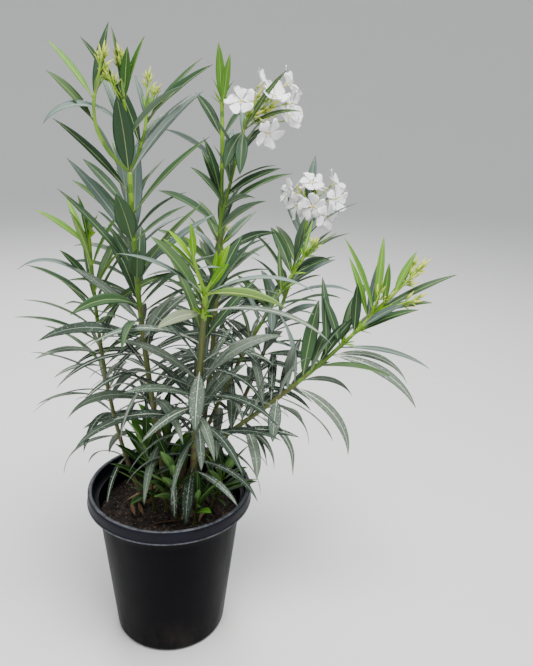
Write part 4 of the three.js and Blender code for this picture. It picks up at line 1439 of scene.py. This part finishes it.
def flower_skin(petals, stalks, start, throat, turn, random):
    """Adds an open flower: stalk and green cup to one skin; tube, throat and petals to the other."""
    sway = np.array([either(0.5, random()), either(0.3, random()), either(0.4, random())])
    face = unit(unit(throat - start) + SUNWARD * 0.55 + sway)
    cup = either(1.2, random()) + 0.6
    foot = throat - face * TUBE_LENGTH
    middle = (start + foot) / 2 + (foot - start - face * np.linalg.norm(foot - start)) * 0.14
    stalk_skin(stalks, start, middle, 0.95, 1.0, 0, 5)
    stalk_skin(stalks, middle, foot, 1.0, 1.1, 0, 5)
    sepals = [(-1, 1.0), (1, 2.1), (3.4, 2.3), (4.8, 1.9)]
    stalks.loft(spindle(foot, face, sepals, 8), 1)
    tube = [(0.5, 1.3), (4, 1.6), (TUBE_LENGTH * 0.6, 2.6), (TUBE_LENGTH - 0.8, 4.2)]
    petals.loft(spindle(foot, face, tube, 10), 1)
    petals.loft(spindle(throat, face, [(-1.2, 4.1), (-0.5, 3.4), (-0.7, 1.0)], 10), 2)
    for index in range(PETALS):
        compass = turn + index * 2 * math.pi / PETALS
        petal_skin(petals, throat, face, compass, cup, random)
        tooth = leaning(face, 40, math.degrees(compass) + 10)
        root = throat + leaning(face, 90, math.degrees(compass)) * 2.6 - face * 0.8
        petals.loft(spindle(root, tooth, [(0, 0.9), (2.2, 1.1), (4.2, 0.25)], 5), 0)


def truss_skin(petals, stalks, cane, reach, flowers, buds, seed):
    """Adds a truss of open flowers with closed buds between them."""
    random = stream(seed)
    detail = stream(seed + 500)
    axis, start, end = cluster_start(cane, reach)
    stalk_skin(stalks, start, end, cane.thin / 2, 1.6, 0)
    root = end - axis * 1.8
    for offset in flowers:
        flower_skin(petals, stalks, root, end + np.array(offset), random() * math.pi, detail)
    for index, offset in enumerate(buds):
        away = end + np.array(offset) - root
        stalk = np.linalg.norm(away) - BUD_LENGTH * FLOWER_BUD_SIZE
        away = unit(away)
        bud_skin(stalks, root, away, stalk, FLOWER_BUD_SIZE)
        for twin in range(3):
            beside = leaning(away, lerp(20, 50, detail()), 120 * twin + index * 31)
            bud_skin(stalks, root + away * stalk * 0.5, beside, stalk * 0.4, lerp(0.5, 0.95, detail()), 6)


# Pot and mix


def pot_profile():
    """The section of the pot's wall: radius and height, from the foot up the outside and down the inside."""
    foot = POT_HEIGHT - BAND_HEIGHT
    outline = [(FOOT_RADIUS - 6, 0), (FOOT_RADIUS, 0)]
    for angle in np.radians((20, 45, 70)):
        radius = lerp(FOOT_RADIUS, WALL_FOOT_RADIUS, math.sin(angle))
        outline.append((radius, FOOT_ROUNDING * (1 - math.cos(angle))))
    outline.append((WALL_FOOT_RADIUS + 0.15, FOOT_ROUNDING + 0.6))
    for share in np.linspace(0.1, 1, 10):
        radius = lerp(WALL_FOOT_RADIUS, WALL_TOP_RADIUS, share)
        outline.append((radius, lerp(FOOT_ROUNDING, foot - 1.5, share)))
    outline += [
        (WALL_TOP_RADIUS + 1.2, foot - 0.4), (BAND_RADIUS - 1.4, foot), (BAND_RADIUS + 0.5, foot + 0.3),
        (BAND_RADIUS + 1.1, foot + 1.1), (BAND_RADIUS + 0.9, foot + 2.0), (BAND_RADIUS, foot + 2.7),
        (BAND_RADIUS - 0.2, foot + 8), (BAND_RADIUS - 0.4, POT_HEIGHT - 8),
        (BAND_RADIUS - 0.8, POT_HEIGHT - 3.6), (BAND_RADIUS - 2.2, POT_HEIGHT - 1.1),
        (BAND_RADIUS - 4, POT_HEIGHT), (LIP_RADIUS + 2.4, POT_HEIGHT - 0.3),
        (LIP_RADIUS + 0.6, POT_HEIGHT - 1.6), (LIP_RADIUS, POT_HEIGHT - 4), (LIP_RADIUS - 1, foot + 7),
        (LIP_RADIUS - 3.5, foot + 4), (WALL_TOP_RADIUS - POT_WALL + 1, foot + 2.6),
        (WALL_TOP_RADIUS - POT_WALL, foot),
    ]
    for share in np.linspace(0.9, 0, 6):
        radius = lerp(WALL_FOOT_RADIUS, WALL_TOP_RADIUS, share) - POT_WALL
        outline.append((radius, lerp(FOOT_ROUNDING + 1, foot, share)))
    outline += [(FOOT_RADIUS, FLOOR_THICKNESS), (FOOT_RADIUS - 6, FLOOR_THICKNESS)]
    return outline


def pot_slots(profile):
    """The slot of each part of the pot's section: its wall, its band and the band's edges, which carry a
    painted highlight.
    """
    foot = POT_HEIGHT - BAND_HEIGHT
    slots = []
    for radius, height in profile:
        is_band = radius > LIP_RADIUS - 4 and height > foot - 1
        is_lower_edge = radius > BAND_RADIUS and height < foot + 2.4
        is_upper_edge = radius > LIP_RADIUS + 2 and height > POT_HEIGHT - 1.5
        slots.append(2 if is_lower_edge or is_upper_edge else int(is_band))
    return slots


def lathe(skin, profile, sides, slots):
    """Adds a closed section turned round the pot's axis. Its points run from the foot up the outside."""
    count = len(profile)
    turned = [
        [(radius * math.cos(angle), radius * math.sin(angle), height) for radius, height in profile]
        for angle in around(sides)
    ]
    faces = []
    for here in range(0, sides * count, count):
        there = (here + count) % (sides * count)
        for index in range(count):
            following = (index + 1) % count
            faces.append((here + index, there + index, there + following, here + following))
    skin.add(turned, faces, list(slots) * sides)


def pot_floor():
    """The pot's floor plate with its drain holes, cut from one flat outline, as corners and faces."""
    outline = bpy.data.curves.new("pot_floor", "CURVE")
    outline.dimensions = "2D"
    outline.fill_mode = "BOTH"
    outline.extrude = FLOOR_THICKNESS / 2
    circles = [level_ring(FOOT_RADIUS - 5.9, 0, 96)]
    for angle in (np.arange(DRAIN_HOLES) + 0.5) * 2 * math.pi / DRAIN_HOLES:
        centre = DRAIN_CIRCLE * np.array([math.cos(angle), math.sin(angle), 0])
        circles.append(centre + level_ring(DRAIN_RADIUS, 0, 28))
    for circle in circles:
        spline = outline.splines.new("POLY")
        spline.points.add(len(circle) - 1)
        spline.points.foreach_set("co", np.insert(circle, 3, 1, axis=1).ravel())
        spline.use_cyclic_u = True
    holder = bpy.data.objects.new("pot_floor", outline)
    mesh = bpy.data.meshes.new_from_object(holder)
    corners = [(corner.co.x, corner.co.y, corner.co.z + FLOOR_THICKNESS / 2) for corner in mesh.vertices]
    faces = [tuple(face.vertices) for face in mesh.polygons]
    bpy.data.objects.remove(holder)
    bpy.data.curves.remove(outline)
    bpy.data.meshes.remove(mesh)
    return corners, faces


def mix_radius(height):
    """The inside radius of the pot at a height."""
    rise = (height - FOOT_ROUNDING) / (POT_HEIGHT - BAND_HEIGHT - FOOT_ROUNDING)
    return lerp(WALL_FOOT_RADIUS, WALL_TOP_RADIUS, rise) - POT_WALL - 0.4


def mix_height(x, y, relief):
    """The height of the mix's surface at a place."""
    place = Vector((x, y, 0))
    lumps = sum(noise.noise(place * scale) * height for scale, height in MIX_LUMPS)
    return SOIL_TOP + relief * (lumps - 0.2)


def mix_skin(skin, relief):
    """Adds the body of potting mix with its uneven surface."""
    sides, steps = 96, 44
    rings = []
    for step in range(1, steps + 1):
        circle = level_ring(mix_radius(SOIL_TOP) * step / steps, 0, sides)
        circle[:, 2] = [mix_height(x, y, relief) for x, y, _ in circle]
        rings.append(circle)
    rings.append(level_ring(mix_radius(FOOT_ROUNDING + 2), FOOT_ROUNDING + 2, sides))
    rings.append(level_ring(FOOT_RADIUS - 2, FLOOR_THICKNESS + 0.4, sides))
    corners = np.concatenate([[(0, 0, mix_height(0, 0, relief))], *rings])
    faces = [(0, 1 + side, 1 + (side + 1) % sides) for side in range(sides)]
    faces += [(1 + a, 1 + d, 1 + c, 1 + b) for a, b, c, d in grid_faces(len(rings), sides)]
    faces.append(tuple(reversed(range(len(corners) - sides, len(corners)))))
    skin.add(corners, faces, 0)


def chip_skin(skin, count, relief):
    """Adds chips of bark and pale grit, scattered over the mix."""
    rng = np.random.default_rng(5)
    shape = np.array([(1, 0, 0), (-1, 0, 0), (0, 1, 0), (0, -1, 0), (0, 0, 1), (0, 0, -1)], float)
    faces = ((0, 2, 4), (2, 1, 4), (1, 3, 4), (3, 0, 4), (2, 0, 5), (1, 2, 5), (3, 1, 5), (0, 3, 5))
    for _ in range(count):
        angle = rng.uniform(0, 2 * math.pi)
        radius = (mix_radius(SOIL_TOP) - 4) * math.sqrt(rng.random())
        x, y = radius * math.cos(angle), radius * math.sin(angle)
        is_grit = rng.random() < GRIT_SHARE
        size = rng.uniform(*(GRIT_SIZES if is_grit else CHIP_SIZES))
        stretch = np.array([size, size * rng.uniform(0.45, 0.8), size * rng.uniform(0.2, 0.45)])
        spin = Matrix.Rotation(rng.uniform(0, 6.28), 3, "Z")
        tilt = Matrix.Rotation(rng.uniform(-0.7, 0.7), 3, "X")
        corners = (shape * stretch * rng.uniform(0.75, 1.2, (6, 1))) @ np.array(spin @ tilt).T
        corners += (x, y, mix_height(x, y, relief) + stretch[2] * 0.5)
        skin.add(corners, faces, 5 if is_grit else 1 + int(rng.integers(0, 4)))


def litter_leaves():
    """Dead leaves that lie curled on the mix."""
    rng = np.random.default_rng(8)
    leaves = []
    for index in range(DEAD_LEAVES["count"]):
        angle = rng.uniform(0, 2 * math.pi)
        radius = rng.uniform(*DEAD_LEAVES["away"])
        root = np.array([radius * math.cos(angle), radius * math.sin(angle), SOIL_TOP + 4.5])
        heading = angle + rng.uniform(1.4, 2.2) * (1 if index % 2 else -1)
        out = unit(np.array([math.cos(heading), math.sin(heading), 0.03]))
        length = rng.uniform(*DEAD_LEAVES["length"])
        bend = rng.uniform(-3, 5)
        roll = rng.uniform(-0.3, 0.3)
        twist = rng.uniform(-1.2, 1.2)
        leaves.append(Leaf(root, out, length, length * 0.2, bend, roll, twist, "dead", index + 3))
    return leaves


# Settings, operators and the panel


class OleanderSettings(bpy.types.PropertyGroup):
    """Sizes and colours of the plant and its pot."""

    leaf_fullness: FloatProperty(
        name="Leaf fullness", description="Width of the leaves against their rule", default=1, min=0.5, max=2
    )
    leaf_steps: IntProperty(
        name="Leaf steps", description="Sections along each leaf", default=15, min=6, max=32
    )
    leaf_cells: IntProperty(
        name="Leaf cells", description="Strips across each leaf", default=6, min=2, max=12
    )
    fleck_count: IntProperty(
        name="Dust flecks", description="Flecks on an old leaf of middling length", default=92, min=0, max=300
    )
    cane_sides: IntProperty(
        name="Cane sides", description="Points round each cane", default=14, min=6, max=32
    )
    mix_relief: FloatProperty(
        name="Mix relief", description="Height of the lumps in the mix", default=0.0022, unit="LENGTH"
    )
    chip_count: IntProperty(
        name="Chips", description="Chips of bark and grit on the mix", default=1900, min=0
    )
    pot_sides: IntProperty(name="Pot sides", description="Points round the pot", default=144, min=32)
    pot_colour: FloatVectorProperty(
        name="Pot colour", description="Colour of the plastic", subtype="COLOR", default=screen(7, 7, 10)
    )
    mix_colour: FloatVectorProperty(
        name="Mix colour", description="Colour of the damp mix", subtype="COLOR", default=screen(24, 19, 17)
    )


class OLEANDER_OT_pot(bpy.types.Operator):
    """Builds the nursery pot with its rounded band and drain holes"""

    bl_idname = "oleander.pot"
    bl_label = "Pot"

    def execute(self, context):
        settings = context.scene.oleander
        skin = Skin()
        profile = pot_profile()
        lathe(skin, profile, settings.pot_sides, pot_slots(profile))
        skin.add(*pot_floor(), 0)
        piece = make_piece("nursery_pot", skin, [pot_finish(settings), band_highlight_finish(settings), edge_highlight_finish()])
        piece.data.shade_smooth()
        piece.data.set_sharp_from_angle(angle=math.radians(50))
        settle(piece, ["pot"])
        return {"FINISHED"}


class OLEANDER_OT_mix(bpy.types.Operator):
    """Fills the pot with bark mix and scatters chips and dead leaves on it"""

    bl_idname = "oleander.mix"
    bl_label = "Potting mix"

    def execute(self, context):
        settings = context.scene.oleander
        relief = settings.mix_relief / MM
        ground = Skin()
        mix_skin(ground, relief)
        settle(make_piece("mix_body", ground, [mix_finish(settings)]), ["potting_mix"])
        chips = Skin()
        chip_skin(chips, settings.chip_count, relief)
        shades = ((26, 21, 18), (44, 34, 28), (66, 50, 41), (92, 75, 61), (170, 163, 152))
        finishes = shaded(chip_finish, "chip", shades)
        piece = make_piece("mix_chips", chips, [mix_finish(settings), *finishes], is_smooth=False)
        settle(piece)
        litter = Skin()
        for index, leaf in enumerate(litter_leaves()):
            litter.loft(leaf_rings(leaf, 12, 4), index % 3)
        browns = ((150, 122, 88), (112, 84, 58), (92, 66, 46))
        settle(make_piece("dead_leaves", litter, shaded(chip_finish, "dead_leaf", browns)))
        return {"FINISHED"}


class OLEANDER_OT_canes(bpy.types.Operator):
    """Builds the canes and shoots with bark, nodes and scars"""

    bl_idname = "oleander.canes"
    bl_label = "Canes"

    def execute(self, context):
        skin = Skin()
        for cane in CLUMP.values():
            cane_skin(skin, cane, context.scene.oleander.cane_sides)
        finishes = [
            bark_finish("bark_brown", screen(104, 84, 62), screen(78, 62, 47)),
            bark_finish("bark_grey", screen(132, 116, 94), screen(100, 84, 64)),
            stalk_finish("stem_olive", screen(74, 88, 32), screen(94, 94, 46)),
            stalk_finish("stem_green", screen(90, 130, 26), screen(76, 110, 26)),
            stalk_finish("stem_bright", screen(128, 172, 28), screen(110, 152, 28)),
            bark_finish("leaf_scar", screen(158, 142, 112), screen(128, 110, 84)),
        ]
        settle(make_piece("canes", skin, finishes), nodes_named("stem_"))
        return {"FINISHED"}


class OLEANDER_OT_leaves(bpy.types.Operator):
    """Grows the leaves in whorls, joined by kind, with their midribs and the dust on the oldest"""

    bl_idname = "oleander.leaves"
    bl_label = "Leaves"

    def execute(self, context):
        settings = context.scene.oleander
        leaves = grow_leaves(settings)
        stands_for = {
            "old": nodes_named("foliage_", "_lower"),
            "fresh": ["foliage_leaning_upper", "foliage_right_upper"],
            "young": ["foliage_front_left", "foliage_front_right"],
            "basal": nodes_named("foliage_basal_"),
        }
        taken = sum(stands_for.values(), [])
        stands_for["mature"] = [node for node in nodes_named("foliage_") if node not in taken]
        for kind in KINDS:
            alike = [leaf for leaf in leaves if leaf.kind == kind]
            piece = leaf_piece(kind, alike, settings.leaf_steps, settings.leaf_cells)
            settle(piece, stands_for.get(kind))
        settle(rib_piece(leaves, settings.leaf_steps))
        dusty = [leaf for leaf in leaves if leaf.kind in ("old", "dusty")]
        settle(fleck_piece(dusty, settings.fleck_count))
        return {"FINISHED"}


def green_and_cream():
    """The finishes of stalks and buds: stalk, cup, cream bud and young green bud."""
    return [
        stalk_finish("flower_stalk", screen(132, 168, 34), screen(148, 180, 48)),
        stalk_finish("bud_cup", screen(136, 166, 44), screen(152, 178, 60)),
        petal_finish("bud_cream", screen(210, 214, 84)),
        petal_finish("bud_green", screen(166, 194, 50)),
    ]


class OLEANDER_OT_buds(bpy.types.Operator):
    """Builds the clusters of closed buds"""

    bl_idname = "oleander.buds"
    bl_label = "Buds"

    def execute(self, context):
        skin = Skin()
        for index, (name, reach, buds, size) in enumerate(BUD_CLUSTERS):
            _, start, end = cluster_start(CLUMP[name], reach)
            cluster_skin(skin, start, end, CLUMP[name].thin / 2, buds, size, 60 + index)
        for index, spec in enumerate(SIDE_CLUSTERS):
            side_cluster_skin(skin, spec, 70 + index)
        nodes = [f"buds_{name}" for name, _, _, _ in BUD_CLUSTERS]
        settle(make_piece("bud_clusters", skin, green_and_cream()), nodes)
        return {"FINISHED"}


class OLEANDER_OT_blossom(bpy.types.Operator):
    """Builds the open white trusses"""

    bl_idname = "oleander.blossom"
    bl_label = "Blossom"

    def execute(self, context):
        petals = Skin()
        stalks = Skin()
        for index, (_, cane, reach, flowers, buds) in enumerate(BLOSSOM_TRUSSES):
            truss_skin(petals, stalks, CLUMP[cane], reach, flowers, buds, 80 + index)
        finishes = [
            petal_finish("petal_white", screen(250, 250, 249)),
            petal_finish("flower_tube", screen(230, 226, 164)),
            petal_finish("throat_yellow", screen(234, 212, 110)),
        ]
        nodes = [node for node, _, _, _, _ in BLOSSOM_TRUSSES]
        settle(make_piece("petals", petals, finishes), nodes)
        settle(make_piece("flower_stalks", stalks, green_and_cream()))
        return {"FINISHED"}


class OLEANDER_OT_stage(bpy.types.Operator):
    """Sets the pale floor, the soft lights and the camera"""

    bl_idname = "oleander.stage"
    bl_label = "Stage"

    def execute(self, context):
        floor = Skin()
        backdrop_skin(floor)
        make_piece("studio_ground", floor, [floor_finish()])
        sky = bpy.data.worlds.new("studio")
        sky.use_nodes = True
        backdrop = sky.node_tree.nodes["Background"]
        backdrop.inputs["Color"].default_value = (0.94, 0.97, 1, 1)
        backdrop.inputs["Strength"].default_value = 0.58
        context.scene.world = sky
        add_light(context, "key", (0.5, -0.7, 3.3), (0.1, 0.0, 0.55), 1.5, 155)
        add_light(context, "fill", (-1.5, -2.4, 1.5), (0.1, 0.0, 0.5), 2.2, 26)
        add_light(context, "rim", (-0.6, 2.2, 2.4), (0.1, 0.0, 0.6), 1.6, 56)
        add_camera(context)
        return {"FINISHED"}


def backdrop_skin(skin):
    """Adds the floor: a wide flat disc that curves up at its edge, so that no horizon shows."""
    sides, steps = 96, 14
    section = [(0.001, 0), (1500, 0), (FLOOR_REACH, 0)]
    for angle in np.radians(np.linspace(0, 90, steps))[1:]:
        section.append((FLOOR_REACH + FLOOR_CURVE * math.sin(angle), FLOOR_CURVE * (1 - math.cos(angle))))
    section.append((FLOOR_REACH + FLOOR_CURVE, FLOOR_CURVE + WALL_HEIGHT))
    corners = [level_ring(radius, height, sides) for radius, height in section]
    skin.add(corners, [(a, d, c, b) for a, b, c, d in grid_faces(len(section), sides)], 0)


def add_light(context, name, place, target, size, power):
    """A square soft light that faces a target, its power in watts."""
    lamp = bpy.data.lights.new(name, "AREA")
    lamp.size = size
    lamp.energy = power
    holder = bpy.data.objects.new(name, lamp)
    holder.location = place
    holder.rotation_euler = (Vector(target) - Vector(place)).to_track_quat("-Z", "Y").to_euler()
    context.scene.collection.objects.link(holder)


def add_camera(context):
    """The camera, which looks down on the plant from the front."""
    tilt, roll = math.radians(CAMERA_TILT), math.radians(CAMERA_ROLL)
    level = Vector((1, 0, 0))
    above = Vector((0, math.sin(tilt), math.cos(tilt)))
    view = Vector((0, math.cos(tilt), -math.sin(tilt)))
    right = level * math.cos(roll) + above * math.sin(roll)
    upright = above * math.cos(roll) - level * math.sin(roll)
    lens = bpy.data.cameras.new("photo_view")
    lens.lens = CAMERA_LENS
    lens.sensor_width = 36
    camera = bpy.data.objects.new("photo_view", lens)
    turned = Matrix((right, upright, -view)).transposed()
    camera.matrix_world = Matrix.Translation(Vector(CAMERA_PLACE) * MM) @ turned.to_4x4()
    context.scene.collection.objects.link(camera)
    context.scene.camera = camera


OPERATORS = (
    OLEANDER_OT_pot,
    OLEANDER_OT_mix,
    OLEANDER_OT_canes,
    OLEANDER_OT_leaves,
    OLEANDER_OT_buds,
    OLEANDER_OT_blossom,
    OLEANDER_OT_stage,
)


class OLEANDER_PT_panel(bpy.types.Panel):
    """The plant's settings and the pieces in the order they are built"""

    bl_label = "Potted Oleander"
    bl_idname = "OLEANDER_PT_panel"
    bl_space_type = "VIEW_3D"
    bl_region_type = "UI"
    bl_category = "Oleander"

    def draw(self, context):
        settings = context.scene.oleander
        for name in OleanderSettings.__annotations__:
            self.layout.prop(settings, name)
        for operator in OPERATORS:
            self.layout.operator(operator.bl_idname)


def register():
    for kind in (OleanderSettings, *OPERATORS, OLEANDER_PT_panel):
        bpy.utils.register_class(kind)
    bpy.types.Scene.oleander = PointerProperty(type=OleanderSettings)


def unregister():
    del bpy.types.Scene.oleander
    for kind in (OLEANDER_PT_panel, *reversed(OPERATORS), OleanderSettings):
        bpy.utils.unregister_class(kind)


def main():
    """Builds every piece in order."""
    register()
    bpy.ops.oleander.pot()
    bpy.ops.oleander.mix()
    bpy.ops.oleander.canes()
    bpy.ops.oleander.leaves()
    bpy.ops.oleander.buds()
    bpy.ops.oleander.blossom()
    bpy.ops.oleander.stage()


if __name__ == "__main__":
    main()
